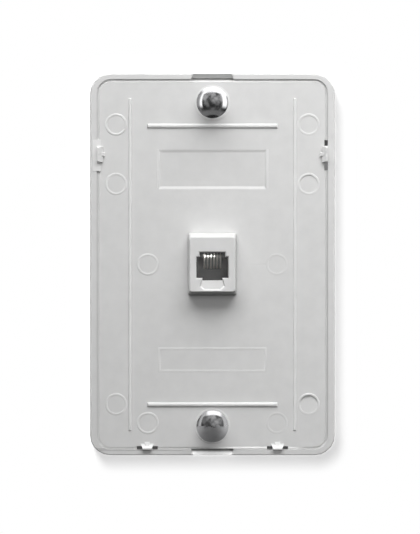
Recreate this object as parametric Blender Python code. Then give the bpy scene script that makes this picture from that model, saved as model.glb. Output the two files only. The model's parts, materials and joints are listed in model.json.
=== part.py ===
"""Wall-phone mounting plate with a central six-position modular jack.

The front faces -Y and the wall plane is y = 0. The origin is the middle of the plate in
the wall plane, +X is to the right seen from the front and +Z is up. Sizes are in metres.
"""

import math

import bmesh
import bpy
from mathutils import Vector
from mathutils.geometry import interpolate_bezier

# Plate outline and depth levels
PLATE_WIDTH = 0.0775
PLATE_HEIGHT = 0.1206
PLATE_DEPTH = 0.0080
PLATE_CORNER_RADIUS = 0.0064
SIDE_DRAFT = 0.0003
RIM_EDGE_RADIUS = 0.0004
RIM_SIDE_THICKNESS = 0.0024
RIM_END_THICKNESS = 0.0020
REAR_WALL = 0.0020
FLOOR_THICKNESS = 0.0020
SEAT_GAP = 0.0003

# Face plate
PANEL_RECESS = 0.0004
PANEL_THICKNESS = 0.0018
PANEL_GAP = 0.00045
PANEL_EDGE_BREAK = 0.0004

# Ribs, frames and pin marks on the face plate
SIDE_RIB_FROM_SIDE = 0.01285
SIDE_RIB_FROM_END = 0.0080
SIDE_RIB_WIDTH = 0.0010
SIDE_RIB_RISE = 0.0004
CROSS_RIB_END_GAP = 0.0048
CROSS_RIB_WIDTH = 0.0014
CROSS_RIB_RISE = 0.0006
CROSS_RIB_UPPER_GAP = 0.00725
CROSS_RIB_LOWER_GAP = 0.00655
LABEL_WIDTH = 0.0339
LABEL_HEIGHT = 0.0120
LABEL_FROM_STUD = 0.0206
LABEL_DEPTH = 0.0003
FRAME_WIDTH = 0.0341
FRAME_HEIGHT = 0.0079
FRAME_FROM_STUD = 0.0208
FRAME_LINE = 0.0006
FRAME_RISE = 0.00015
PIN_MARK_RADIUS = 0.0031
PIN_MARK_STEP = 0.0002
PIN_MARK_OUTSIDE_RIB = 0.0044
PIN_MARK_INSIDE_RIB = 0.0056
PIN_MARK_FROM_STUD = 0.0068
PIN_MARK_ROW_PITCH = 0.0187
PIN_MARK_BESIDE_STUD = 0.0009

# Snap lugs that hold the face plate, and the pry ramps in the rim
SIDE_LUG_FROM_TOP = 0.0257
SIDE_LUG_LENGTH = 0.0058
SIDE_NOTCH_LENGTH = 0.0098
LOWER_LUG_FROM_SIDE = 0.01825
LOWER_LUG_LENGTH = 0.0036
LOWER_NOTCH_LENGTH = 0.0066
LUG_POST = 0.0009
LUG_REACH = 0.0019
LUG_LAND = 0.0005
LUG_RISE = 0.0018
LUG_END_TAPER = 0.0008
LUG_LIP = 0.0004
LUG_RELIEF = 0.0001
LUG_ROOT = 0.0003
NUB_WIDTH = 0.0014
NUB_REACH = 0.0006
NUB_RISE = 0.0006
NUB_END_TAPER = 0.0003
NOTCH_DEPTH = 0.0012
PRY_OUTER_HALF = 0.0059
PRY_INNER_HALF = 0.0066
PRY_DEPTH = 0.0012
PRY_LIP = 0.0002
PRY_SLOT = 0.00035

# Hanging studs and their nuts
STUD_FROM_END = 0.0095
STUD_SHANK_RADIUS = 0.00175
STUD_COLLAR_RADIUS = 0.0040
STUD_COLLAR_THICKNESS = 0.0012
STUD_NECK_RADIUS = 0.0028
STUD_NECK_LENGTH = 0.0056
STUD_HEAD_RADIUS = 0.0050
STUD_HEAD_EDGE = 0.0008
STUD_HEAD_DOME = 0.0026
STUD_END_CLEARANCE = 0.0004
NUT_ACROSS_FLATS = 0.0068
NUT_THICKNESS = 0.0024
NUT_CHAMFER = 0.0003

# Box screw seats
BOX_SCREW_FROM_STUD = 0.00915
BOX_SLOT_WIDTH = 0.0039
BOX_SLOT_LENGTH = 0.0060
BOX_SEAT_RADIUS = 0.0039
BOX_SEAT_WALL = 0.0012
BOX_SEAT_FLOOR = 0.0016
BOX_SEAT_SETBACK = 0.0006

# Stiffening ribs behind the floor
REAR_RIB_THICKNESS = 0.0012
REAR_RIB_FROM_SIDE = 0.01125
REAR_RIB_FROM_BOX_SCREW = 0.01465
REAR_RIB_SETBACK = 0.0008

# Jack housing
JACK_WIDTH = 0.0154
JACK_HEIGHT = 0.0204
JACK_PROJECTION = 0.0064
JACK_SIDE_DRAFT = 0.0005
JACK_END_DRAFT = 0.0012
JACK_CORNER_RADIUS = 0.0008
JACK_EDGE_RADIUS = 0.0004
JACK_REAR = 0.0030
JACK_FLANGE_MARGIN = 0.0017
JACK_FLANGE_THICKNESS = 0.0012
JACK_CLEARANCE = 0.0003
JACK_HOOK_WIDTH = 0.0060
JACK_HOOK_THICKNESS = 0.0011
JACK_HOOK_CATCH = 0.0009
JACK_HOOK_LIP = 0.0009

# Modular opening
CAVITY_WIDTH = 0.0100
CAVITY_TOP = 0.00235
CAVITY_BOTTOM = -0.00425
KEY_WIDTH = 0.0080
KEY_TOP = 0.00375
LATCH_WIDTH = 0.0063
LATCH_BOTTOM = -0.0050
MOUTH_CHAMFER = 0.0005
LATCH_RAMP_TOP_DEPTH = 0.0016
LATCH_RAMP_END_DEPTH = 0.0004
LATCH_RAMP_WAIST_WIDTH = 0.0073
LATCH_RAMP_WAIST_Z = -0.0066
LATCH_RAMP_END_WIDTH = 0.0049
LATCH_RAMP_END_Z = -0.0081

# Jack insert with its contact comb
INSERT_CLEARANCE = 0.0003
INSERT_FACE_DEPTH = 0.0125
INSERT_FLANGE_WIDTH = 0.0132
INSERT_FLANGE_HEIGHT = 0.0128
INSERT_FLANGE_THICKNESS = 0.0012
SHELF_WIDTH = 0.0072
SHELF_THICKNESS = 0.0006
SHELF_SETBACK = 0.0032
RIDGE_THICKNESS = 0.0003
RIDGE_HEIGHT = 0.0005
WIRE_SLOT_DEPTH = 0.0035

# Contact wires
CONTACT_COUNT = 6
CONTACT_PITCH = 0.001016
CONTACT_RADIUS = 0.00023
CONTACT_GAP = 0.0002
CONTACT_BEND_RADIUS = 0.00075
CONTACT_DIP = 22.0
CONTACT_SPRING_LENGTH = 0.0082
CONTACT_TAIL_GAP = 0.0004

# Terminal blocks, screws, washers and spade lugs
TERMINAL_X = 0.0180
TERMINAL_PITCH = 0.0120
TERMINAL_ROWS = 3
BLOCK_WIDTH = 0.0096
BLOCK_END = 0.0055
BLOCK_REAR = 0.0020
FIN_THICKNESS = 0.0010
FIN_RISE = 0.0024
TERMINAL_GAP = 0.0003
SCREW_SHANK_RADIUS = 0.0015
SCREW_LENGTH = 0.0070
SCREW_HEAD_RADIUS = 0.0031
SCREW_HEAD_HEIGHT = 0.0020
SCREW_SLOT_WIDTH = 0.0010
SCREW_SLOT_DEPTH = 0.0010
WASHER_SIZE = 0.0068
WASHER_THICKNESS = 0.0008
WASHER_CORNER = 0.0008
LUG_PLATE_THICKNESS = 0.0005
LUG_FORK_WIDTH = 0.0064
LUG_FORK_SLOT = 0.0037
LUG_FORK_TIP = 0.0026
LUG_FORK_ROOT = 0.0032
LUG_TONGUE_WIDTH = 0.0026
LUG_BARREL_START = 0.0044
LUG_BARREL_LENGTH = 0.0034
LUG_BARREL_WALL = 0.0004
LUG_BARREL_SINK = 0.0002

# Leads from the insert to the terminals
LEAD_RADIUS = 0.00065
LEAD_CLEARANCE = 0.0003
LEAD_COLUMN_X = 0.0032
LEAD_ROW_PITCH = 0.0030
LEAD_BORE_DEPTH = 0.0020
LEAD_ENTRY = 0.0016
LEAD_REAR_PULL = 0.0058
LEAD_SIDE_PULL = 0.0026
LEAD_COLOURS = {
    "white": (0.80, 0.79, 0.75),
    "black": (0.03, 0.03, 0.03),
    "red": (0.55, 0.05, 0.04),
    "green": (0.05, 0.28, 0.09),
    "yellow": (0.75, 0.60, 0.06),
    "blue": (0.05, 0.12, 0.45),
}

# Facets
CORNER_STEPS = 5
ROUND_STEPS = 24
SMALL_ROUND_STEPS = 14
SMOOTH_ANGLE = math.radians(35)

# Depth levels, negative towards the front
RIM_FRONT = -PLATE_DEPTH
PANEL_FRONT = RIM_FRONT + PANEL_RECESS
PANEL_BACK = PANEL_FRONT + PANEL_THICKNESS
FLOOR_FRONT = PANEL_BACK + SEAT_GAP
FLOOR_BACK = FLOOR_FRONT + FLOOR_THICKNESS
JACK_FRONT = PANEL_FRONT - JACK_PROJECTION
OVERCUT = 0.0005
BITE = 0.0003

# Half sizes of the pocket that holds the face plate
POCKET_X = PLATE_WIDTH / 2 - RIM_SIDE_THICKNESS
POCKET_Z = PLATE_HEIGHT / 2 - RIM_END_THICKNESS
POCKET_RADIUS = max(PLATE_CORNER_RADIUS - RIM_END_THICKNESS, PANEL_GAP * 2)

# Places on the plate, taken from its edges
STUD_Z = PLATE_HEIGHT / 2 - STUD_FROM_END
BOX_SCREW_Z = STUD_Z - BOX_SCREW_FROM_STUD
SIDE_RIB_X = PLATE_WIDTH / 2 - SIDE_RIB_FROM_SIDE
SIDE_LUG_Z = PLATE_HEIGHT / 2 - SIDE_LUG_FROM_TOP
LOWER_LUG_X = PLATE_WIDTH / 2 - LOWER_LUG_FROM_SIDE
LABEL_Z = STUD_Z - LABEL_FROM_STUD
FRAME_Z = FRAME_FROM_STUD - STUD_Z

# Levels of the contact wires and of the shelf that they lie on
CONTACT_TOP_Z = KEY_TOP - CONTACT_GAP - CONTACT_RADIUS
SHELF_TOP_Z = CONTACT_TOP_Z - CONTACT_RADIUS - CONTACT_GAP
INSERT_FACE_Y = JACK_FRONT + INSERT_FACE_DEPTH
SHELF_FRONT_Y = JACK_FRONT + SHELF_SETBACK
INSERT_REAR = JACK_REAR + SEAT_GAP + INSERT_FLANGE_THICKNESS

# Levels of the stacked terminal pieces, behind the blocks
LUG_FRONT_Y = BLOCK_REAR + TERMINAL_GAP
WASHER_FRONT_Y = LUG_FRONT_Y + LUG_PLATE_THICKNESS + TERMINAL_GAP
SCREW_SEAT_Y = WASHER_FRONT_Y + WASHER_THICKNESS + TERMINAL_GAP
BARREL_BORE_RADIUS = LEAD_RADIUS + LEAD_CLEARANCE
BARREL_RADIUS = BARREL_BORE_RADIUS + LUG_BARREL_WALL


def clear_scene():
    """Remove whatever the file opened with."""
    for item in list(bpy.data.objects):
        bpy.data.objects.remove(item, do_unlink=True)


def make_material(name, colour, roughness, metallic=0.0):
    """Principled material of one finish."""
    material = bpy.data.materials.new(name)
    material.use_nodes = True
    shader = material.node_tree.nodes["Principled BSDF"]
    shader.inputs["Base Color"].default_value = (*colour, 1.0)
    shader.inputs["Roughness"].default_value = roughness
    shader.inputs["Metallic"].default_value = metallic
    return material


def make_object(name, bm, material=None):
    """Object from a bmesh, faces pointing out, round faces shaded smooth."""
    bmesh.ops.recalc_face_normals(bm, faces=bm.faces)
    mesh = bpy.data.meshes.new(name)
    bm.to_mesh(mesh)
    bm.free()
    mesh.shade_smooth()
    mesh.set_sharp_from_angle(angle=SMOOTH_ANGLE)
    piece = bpy.data.objects.new(name, mesh)
    bpy.context.scene.collection.objects.link(piece)
    if material:
        mesh.materials.append(material)
    return piece


def combine(piece, operation, name, bm):
    """Join a shape to a piece, or cut it from the piece, by an exact Boolean."""
    tool = make_object(name, bm)
    tool.hide_render = True
    tool.display_type = "WIRE"
    modifier = piece.modifiers.new(name, "BOOLEAN")
    modifier.operation = operation
    modifier.solver = "EXACT"
    modifier.object = tool
    return tool


def finished_mesh(piece):
    """The piece's mesh with its modifiers worked in, for copies to share."""
    depsgraph = bpy.context.evaluated_depsgraph_get()
    return bpy.data.meshes.new_from_object(piece.evaluated_get(depsgraph))


def rounded_rectangle(half_x, half_z, radius, steps=CORNER_STEPS):
    """Outline in XZ with arcs at its corners."""
    radius = min(radius, half_x, half_z)
    points = []
    for quarter, (side_x, side_z) in enumerate(((1, 1), (-1, 1), (-1, -1), (1, -1))):
        for step in range(steps + 1):
            angle = math.pi / 2 * (quarter + step / steps)
            x = side_x * (half_x - radius) + radius * math.cos(angle)
            z = side_z * (half_z - radius) + radius * math.sin(angle)
            points.append((x, z))
    return points


def circle(radius, steps, centre=(0.0, 0.0)):
    """Round outline in XZ."""
    angles = [2 * math.pi * step / steps for step in range(steps)]
    return [(centre[0] + radius * math.cos(a), centre[1] + radius * math.sin(a)) for a in angles]


def rectangle(low_x, high_x, low_z, high_z):
    """Plain rectangle in XZ."""
    return [(low_x, low_z), (high_x, low_z), (high_x, high_z), (low_x, high_z)]


def ring(outline, y):
    """An XZ outline set at one depth."""
    return [Vector((x, y, z)) for x, z in outline]


def loft(bm, rings):
    """Closed skin through rings of equal length, capped at both ends."""
    loops = [[bm.verts.new(point) for point in points] for points in rings]
    count = len(loops[0])
    for near, far in zip(loops, loops[1:]):
        for i in range(count):
            j = (i + 1) % count
            bm.faces.new((near[i], near[j], far[j], far[i]))
    bm.faces.new(loops[0])
    bm.faces.new(loops[-1])


def prism(bm, outline, front, back):
    """An XZ outline carried straight from one depth to another."""
    loft(bm, [ring(outline, front), ring(outline, back)])


def revolve(profile, steps):
    """Turned solid about the Y axis from (radius, y) points that start and end on it."""
    bm = bmesh.new()
    verts = [bm.verts.new((radius, y, 0.0)) for radius, y in profile]
    edges = [bm.edges.new(pair) for pair in zip(verts, verts[1:])]
    bmesh.ops.spin(
        bm,
        geom=verts + edges,
        cent=(0.0, 0.0, 0.0),
        axis=(0.0, 1.0, 0.0),
        angle=2 * math.pi,
        steps=steps,
        use_merge=True,
    )
    bmesh.ops.remove_doubles(bm, verts=bm.verts, dist=1e-6)
    return bm


def edge_point(edge, inward, along, y):
    """A point given by its reach inward from a pocket wall and its place along that wall."""
    (anchor_x, anchor_z), (in_x, in_z) = edge
    return Vector((
        anchor_x + inward * in_x - along * in_z,
        y,
        anchor_z + inward * in_z + along * in_x,
    ))


def snap_edges():
    """Wall place, direction inward, lug length and notch length of each snap lug."""
    return (
        (((POCKET_X, SIDE_LUG_Z), (-1, 0)), SIDE_LUG_LENGTH, SIDE_NOTCH_LENGTH),
        (((-POCKET_X, SIDE_LUG_Z), (1, 0)), SIDE_LUG_LENGTH, SIDE_NOTCH_LENGTH),
        (((LOWER_LUG_X, -POCKET_Z), (0, 1)), LOWER_LUG_LENGTH, LOWER_NOTCH_LENGTH),
        (((-LOWER_LUG_X, -POCKET_Z), (0, 1)), LOWER_LUG_LENGTH, LOWER_NOTCH_LENGTH),
    )


def stud_places():
    """Heights of the two studs."""
    return {"upper": STUD_Z, "lower": -STUD_Z}


def terminal_places():
    """Side and height of each screw terminal, left column first, top to bottom."""
    rows = [(TERMINAL_ROWS - 1) / 2 - row for row in range(TERMINAL_ROWS)]
    return [(side, row) for side in (-1, 1) for row in rows]


def edge_bar(bm, edge, profile, length, taper=0.0):
    """A profile of (inward, y) points drawn out along a pocket wall, shorter at its front."""
    back = max(y for _, y in profile)
    depth = back - min(y for _, y in profile)
    rings = []
    for side in (-1, 1):
        points = []
        for inward, y in profile:
            along = side * (length / 2 - taper * (back - y) / depth)
            points.append(edge_point(edge, inward, along, y))
        rings.append(points)
    loft(bm, rings)


def plate_blank():
    """The plate's outer form: drafted sides and a rounded front edge."""
    bm = bmesh.new()
    rings = []
    levels = [(0.0, 0.0), (RIM_FRONT + RIM_EDGE_RADIUS, SIDE_DRAFT)]
    for angle in (30, 60, 90):
        turn = math.radians(angle)
        level = RIM_FRONT + RIM_EDGE_RADIUS * (1 - math.sin(turn))
        levels.append((level, SIDE_DRAFT + RIM_EDGE_RADIUS * (1 - math.cos(turn))))
    for y, inset in levels:
        outline = rounded_rectangle(
            PLATE_WIDTH / 2 - inset, PLATE_HEIGHT / 2 - inset, PLATE_CORNER_RADIUS - inset / 2
        )
        rings.append(ring(outline, y))
    loft(bm, rings)
    return bm


def plate_hollows():
    """The front pocket for the face plate and the hollow behind the floor."""
    bm = bmesh.new()
    prism(bm, rounded_rectangle(POCKET_X, POCKET_Z, POCKET_RADIUS), RIM_FRONT - OVERCUT, FLOOR_FRONT)
    half_x = PLATE_WIDTH / 2 - REAR_WALL
    half_z = PLATE_HEIGHT / 2 - REAR_WALL
    prism(bm, rounded_rectangle(half_x, half_z, POCKET_RADIUS), FLOOR_BACK, OVERCUT)
    return bm


def rear_long_ribs():
    """Two upright ribs that stiffen the floor from behind."""
    bm = bmesh.new()
    half_z = PLATE_HEIGHT / 2 - REAR_WALL + BITE
    for side in (-1, 1):
        centre = side * (PLATE_WIDTH / 2 - REAR_RIB_FROM_SIDE)
        outline = rectangle(
            centre - REAR_RIB_THICKNESS / 2, centre + REAR_RIB_THICKNESS / 2, -half_z, half_z
        )
        prism(bm, outline, FLOOR_BACK - BITE, -REAR_RIB_SETBACK)
    return bm


def rear_cross_ribs():
    """Two level ribs that cross the upright ones."""
    bm = bmesh.new()
    half_x = PLATE_WIDTH / 2 - REAR_WALL + BITE
    for side in (-1, 1):
        centre = side * (BOX_SCREW_Z - REAR_RIB_FROM_BOX_SCREW)
        outline = rectangle(
            -half_x, half_x, centre - REAR_RIB_THICKNESS / 2, centre + REAR_RIB_THICKNESS / 2
        )
        prism(bm, outline, FLOOR_BACK - BITE, -REAR_RIB_SETBACK)
    return bm


def rear_bosses():
    """Terminal blocks beside the jack and the seats of the box screws."""
    bm = bmesh.new()
    half_length = TERMINAL_PITCH * (TERMINAL_ROWS - 1) / 2 + BLOCK_END
    for side in (-1, 1):
        low = side * TERMINAL_X - BLOCK_WIDTH / 2
        outline = rectangle(low, low + BLOCK_WIDTH, -half_length, half_length)
        prism(bm, outline, FLOOR_BACK - BITE, BLOCK_REAR)
        seat = circle(BOX_SEAT_RADIUS + BOX_SEAT_WALL, ROUND_STEPS, (0.0, side * BOX_SCREW_Z))
        prism(bm, seat, FLOOR_BACK - BITE, -BOX_SEAT_SETBACK)
    return bm


def terminal_fins():
    """Thin walls that keep the terminals of one block apart."""
    bm = bmesh.new()
    for side in (-1, 1):
        low = side * TERMINAL_X - BLOCK_WIDTH / 2
        for gap in range(TERMINAL_ROWS - 1):
            centre = TERMINAL_PITCH * (gap - (TERMINAL_ROWS - 2) / 2)
            outline = rectangle(
                low + BITE, low + BLOCK_WIDTH - BITE, centre - FIN_THICKNESS / 2,
                centre + FIN_THICKNESS / 2,
            )
            prism(bm, outline, BLOCK_REAR - BITE, BLOCK_REAR + FIN_RISE)
    return bm


def jack_hooks():
    """Hooks above and below the jack that catch behind its flange."""
    bm = bmesh.new()
    flange_back = FLOOR_BACK + SEAT_GAP + JACK_FLANGE_THICKNESS + SEAT_GAP
    foot = JACK_HEIGHT / 2 + JACK_FLANGE_MARGIN + JACK_CLEARANCE
    profile = (
        (foot, FLOOR_BACK - BITE),
        (foot + JACK_HOOK_THICKNESS, FLOOR_BACK - BITE),
        (foot + JACK_HOOK_THICKNESS, flange_back + JACK_HOOK_LIP),
        (foot, flange_back + JACK_HOOK_LIP),
        (foot - JACK_HOOK_CATCH, flange_back + JACK_HOOK_LIP / 3),
        (foot - JACK_HOOK_CATCH, flange_back),
        (foot, flange_back),
    )
    for side in (-1, 1):
        ends = (-JACK_HOOK_WIDTH / 2, JACK_HOOK_WIDTH / 2)
        loft(bm, [[Vector((x, y, side * z)) for z, y in profile] for x in ends])
    return bm


def floor_holes():
    """Jack window, stud holes, box screw seats and slots, and the screw holes."""
    bm = bmesh.new()
    window = rounded_rectangle(
        JACK_WIDTH / 2 + JACK_CLEARANCE, JACK_HEIGHT / 2 + JACK_CLEARANCE,
        JACK_CORNER_RADIUS + JACK_CLEARANCE,
    )
    prism(bm, window, FLOOR_FRONT - OVERCUT, FLOOR_BACK + OVERCUT)
    for height in stud_places().values():
        hole = circle(STUD_SHANK_RADIUS + SEAT_GAP, SMALL_ROUND_STEPS, (0.0, height))
        prism(bm, hole, FLOOR_FRONT - OVERCUT, FLOOR_BACK + OVERCUT)
    seat_level = -BOX_SEAT_SETBACK - BOX_SEAT_FLOOR
    for side in (-1, 1):
        centre = (0.0, side * BOX_SCREW_Z)
        prism(bm, circle(BOX_SEAT_RADIUS, ROUND_STEPS, centre), FLOOR_FRONT - OVERCUT, seat_level)
    for side, row in terminal_places():
        centre = (side * TERMINAL_X, row * TERMINAL_PITCH)
        hole = circle(SCREW_SHANK_RADIUS + TERMINAL_GAP, SMALL_ROUND_STEPS, centre)
        prism(bm, hole, SCREW_SEAT_Y - SCREW_LENGTH - TERMINAL_GAP, BLOCK_REAR + OVERCUT)
    return bm


def box_slots():
    """Upright slots through the box screw seats."""
    bm = bmesh.new()
    for side in (-1, 1):
        outline = rounded_rectangle(BOX_SLOT_WIDTH / 2, BOX_SLOT_LENGTH / 2, BOX_SLOT_WIDTH / 2)
        placed = [(x, z + side * BOX_SCREW_Z) for x, z in outline]
        prism(bm, placed, -BOX_SEAT_SETBACK - BOX_SEAT_FLOOR - OVERCUT, OVERCUT)
    return bm


def snap_windows():
    """Openings in the floor under the snap lugs, which let their hooks be moulded."""
    bm = bmesh.new()
    reach = LUG_REACH + NUB_REACH
    profile = (
        (0.0, FLOOR_FRONT - OVERCUT),
        (reach, FLOOR_FRONT - OVERCUT),
        (reach, FLOOR_BACK + OVERCUT),
        (0.0, FLOOR_BACK + OVERCUT),
    )
    for edge, _, notch in snap_edges():
        edge_bar(bm, edge, profile, notch)
    return bm


def snap_posts():
    """Posts on the rim's inner wall that carry the lugs."""
    bm = bmesh.new()
    top = PANEL_FRONT - SEAT_GAP - BITE
    profile = (
        (-LUG_ROOT, FLOOR_BACK),
        (LUG_POST, FLOOR_BACK),
        (LUG_POST, top),
        (LUG_POST / 2, top),
        (-LUG_ROOT, RIM_FRONT + LUG_ROOT),
    )
    for edge, length, _ in snap_edges():
        edge_bar(bm, edge, profile, length - 2 * LUG_END_TAPER)
    return bm


def snap_lugs():
    """Lugs that hook over the face plate's edge, with sloping ends."""
    bm = bmesh.new()
    under = PANEL_FRONT - SEAT_GAP
    top = PANEL_FRONT - LUG_RISE
    profile = (
        (-LUG_ROOT, under + 2 * LUG_ROOT),
        (LUG_POST / 2, under),
        (LUG_REACH, under),
        (LUG_REACH, under - LUG_LIP),
        (LUG_LAND, top),
        (LUG_RELIEF, top),
        (LUG_RELIEF, RIM_FRONT),
        (-LUG_ROOT, RIM_FRONT + LUG_ROOT),
    )
    for edge, length, _ in snap_edges():
        edge_bar(bm, edge, profile, length, LUG_END_TAPER)
    return bm


def snap_nubs():
    """Short noses in the middle of the lugs."""
    bm = bmesh.new()
    under = PANEL_FRONT - SEAT_GAP
    reach = LUG_REACH + NUB_REACH
    profile = (
        (LUG_POST + BITE, under - LUG_LIP / 4),
        (reach, under - LUG_LIP / 4),
        (reach, under - LUG_LIP),
        (LUG_REACH - NUB_REACH, under - LUG_LIP - NUB_RISE),
        (LUG_POST + BITE, under - LUG_LIP - NUB_RISE / 2),
    )
    for edge, _, _ in snap_edges():
        edge_bar(bm, edge, profile, NUB_WIDTH, NUB_END_TAPER)
    return bm


def pry_ramps():
    """Ramps in the rim, above and below, for the blade that lifts the face plate."""
    bm = bmesh.new()
    outer = RIM_END_THICKNESS - SIDE_DRAFT
    front = RIM_FRONT - OVERCUT
    for side in (-1, 1):
        edge = ((0.0, side * POCKET_Z), (0, -side))
        corners = (
            (-outer, PRY_OUTER_HALF, RIM_FRONT + PRY_LIP),
            (-outer, -PRY_OUTER_HALF, RIM_FRONT + PRY_LIP),
            (-PRY_SLOT, -PRY_INNER_HALF, RIM_FRONT + PRY_DEPTH),
            (PANEL_GAP / 3, -PRY_INNER_HALF, RIM_FRONT + PRY_DEPTH),
            (PANEL_GAP / 3, PRY_INNER_HALF, RIM_FRONT + PRY_DEPTH),
            (-PRY_SLOT, PRY_INNER_HALF, RIM_FRONT + PRY_DEPTH),
        )
        near = [edge_point(edge, inward, along, front) for inward, along, _ in corners]
        far = [edge_point(edge, inward, along, y) for inward, along, y in corners]
        loft(bm, [near, far])
    return bm


def pry_slots():
    """Narrow slots at the foot of the ramps, down to the floor."""
    bm = bmesh.new()
    profile = (
        (-PRY_SLOT, RIM_FRONT - OVERCUT),
        (PANEL_GAP / 3, RIM_FRONT - OVERCUT),
        (PANEL_GAP / 3, FLOOR_FRONT),
        (-PRY_SLOT, FLOOR_FRONT),
    )
    for side in (-1, 1):
        edge = ((0.0, side * POCKET_Z), (0, -side))
        edge_bar(bm, edge, profile, 2 * PRY_INNER_HALF)
    return bm


def build_mounting_base(material):
    """Outer moulding that screws to the wall box and carries everything else."""
    base = make_object("mounting_base", plate_blank(), material)
    combine(base, "DIFFERENCE", "plate_hollows", plate_hollows())
    combine(base, "UNION", "rear_long_ribs", rear_long_ribs())
    combine(base, "UNION", "rear_cross_ribs", rear_cross_ribs())
    combine(base, "UNION", "rear_bosses", rear_bosses())
    combine(base, "UNION", "terminal_fins", terminal_fins())
    combine(base, "UNION", "jack_hooks", jack_hooks())
    combine(base, "DIFFERENCE", "floor_holes", floor_holes())
    combine(base, "DIFFERENCE", "box_slots", box_slots())
    combine(base, "DIFFERENCE", "snap_windows", snap_windows())
    combine(base, "UNION", "snap_posts", snap_posts())
    combine(base, "UNION", "snap_lugs", snap_lugs())
    combine(base, "UNION", "snap_nubs", snap_nubs())
    combine(base, "DIFFERENCE", "pry_ramps", pry_ramps())
    combine(base, "DIFFERENCE", "pry_slots", pry_slots())


def panel_blank():
    """The face plate's slab with a broken front edge."""
    bm = bmesh.new()
    half_x = POCKET_X - PANEL_GAP
    half_z = POCKET_Z - PANEL_GAP
    radius = POCKET_RADIUS - PANEL_GAP
    side = rounded_rectangle(half_x, half_z, radius)
    front = rounded_rectangle(half_x - PANEL_EDGE_BREAK, half_z - PANEL_EDGE_BREAK, radius)
    loft(bm, [
        ring(side, PANEL_BACK),
        ring(side, PANEL_FRONT + PANEL_EDGE_BREAK),
        ring(front, PANEL_FRONT),
    ])
    return bm


def rib(bm, centre_x, centre_z, length_x, length_z, rise):
    """A raised bar on the face plate with a round crest and rounded ends."""
    half = min(length_x, length_z) / 2
    levels = [(PANEL_FRONT + BITE, 0.0)]
    for angle in (0, 22, 45, 65, 80):
        turn = math.radians(angle)
        levels.append((PANEL_FRONT - rise * math.sin(turn), half * (1 - math.cos(turn))))
    rings = []
    for y, inset in levels:
        reach_x = length_x / 2 - inset
        reach_z = length_z / 2 - inset
        outline = rectangle(
            centre_x - reach_x, centre_x + reach_x, centre_z - reach_z, centre_z + reach_z
        )
        rings.append(ring(outline, y))
    loft(bm, rings)


def panel_ribs():
    """Two level ribs inside the studs and two long upright ribs beside them."""
    bm = bmesh.new()
    cross_length = 2 * (SIDE_RIB_X - SIDE_RIB_WIDTH / 2 - CROSS_RIB_END_GAP)
    side_length = PLATE_HEIGHT - 2 * SIDE_RIB_FROM_END
    for height in (STUD_Z - CROSS_RIB_UPPER_GAP, CROSS_RIB_LOWER_GAP - STUD_Z):
        rib(bm, 0.0, height, cross_length, CROSS_RIB_WIDTH, CROSS_RIB_RISE)
    for side in (-1, 1):
        rib(bm, side * SIDE_RIB_X, 0.0, SIDE_RIB_WIDTH, side_length, SIDE_RIB_RISE)
    return bm


def lower_frame_body():
    """Slab that leaves the lower field's raised outline."""
    bm = bmesh.new()
    outline = rectangle(
        -FRAME_WIDTH / 2, FRAME_WIDTH / 2, FRAME_Z - FRAME_HEIGHT / 2, FRAME_Z + FRAME_HEIGHT / 2
    )
    prism(bm, outline, PANEL_FRONT - FRAME_RISE, PANEL_FRONT + BITE)
    return bm


def pin_mark_places():
    """Places of the ejector pin marks: those that stand proud and those that are sunk."""
    outer = SIDE_RIB_X + PIN_MARK_OUTSIDE_RIB
    inner = SIDE_RIB_X - PIN_MARK_INSIDE_RIB
    top = STUD_Z - PIN_MARK_FROM_STUD
    below_top = top - PIN_MARK_ROW_PITCH
    bottom = PIN_MARK_BESIDE_STUD - STUD_Z
    proud = [(-outer, top), (-outer, below_top), (-outer, -top), (-inner, 0.0), (-inner, bottom)]
    sunk = [(outer, top), (outer, below_top), (outer, -top), (inner, 0.0), (inner, bottom)]
    return proud, sunk


def raised_pin_marks():
    """Low discs left by the pins that stopped short."""
    bm = bmesh.new()
    for place in pin_mark_places()[0]:
        mark = circle(PIN_MARK_RADIUS, ROUND_STEPS, place)
        prism(bm, mark, PANEL_FRONT - PIN_MARK_STEP, PANEL_FRONT + BITE)
    return bm


def panel_recesses():
    """The upper field, the inside of the lower field's outline and the sunk pin marks."""
    bm = bmesh.new()
    front = PANEL_FRONT - OVERCUT
    upper = rectangle(
        -LABEL_WIDTH / 2, LABEL_WIDTH / 2, LABEL_Z - LABEL_HEIGHT / 2, LABEL_Z + LABEL_HEIGHT / 2
    )
    prism(bm, upper, front, PANEL_FRONT + LABEL_DEPTH)
    half_x = FRAME_WIDTH / 2 - FRAME_LINE
    half_z = FRAME_HEIGHT / 2 - FRAME_LINE
    lower = rectangle(-half_x, half_x, FRAME_Z - half_z, FRAME_Z + half_z)
    prism(bm, lower, front, PANEL_FRONT)
    for place in pin_mark_places()[1]:
        mark = circle(PIN_MARK_RADIUS, ROUND_STEPS, place)
        prism(bm, mark, front, PANEL_FRONT + PIN_MARK_STEP)
    return bm


def panel_openings():
    """Jack window, stud holes and the four notches for the snap lugs."""
    bm = bmesh.new()
    front = PANEL_FRONT - OVERCUT
    back = PANEL_BACK + OVERCUT
    window = rounded_rectangle(
        JACK_WIDTH / 2 + JACK_CLEARANCE, JACK_HEIGHT / 2 + JACK_CLEARANCE,
        JACK_CORNER_RADIUS + JACK_CLEARANCE,
    )
    prism(bm, window, front, back)
    for height in stud_places().values():
        prism(bm, circle(STUD_COLLAR_RADIUS + SEAT_GAP, ROUND_STEPS, (0.0, height)), front, back)
    for edge, _, length in snap_edges():
        profile = ((0.0, front), (NOTCH_DEPTH, front), (NOTCH_DEPTH, back), (0.0, back))
        edge_bar(bm, edge, profile, length)
    return bm


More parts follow.
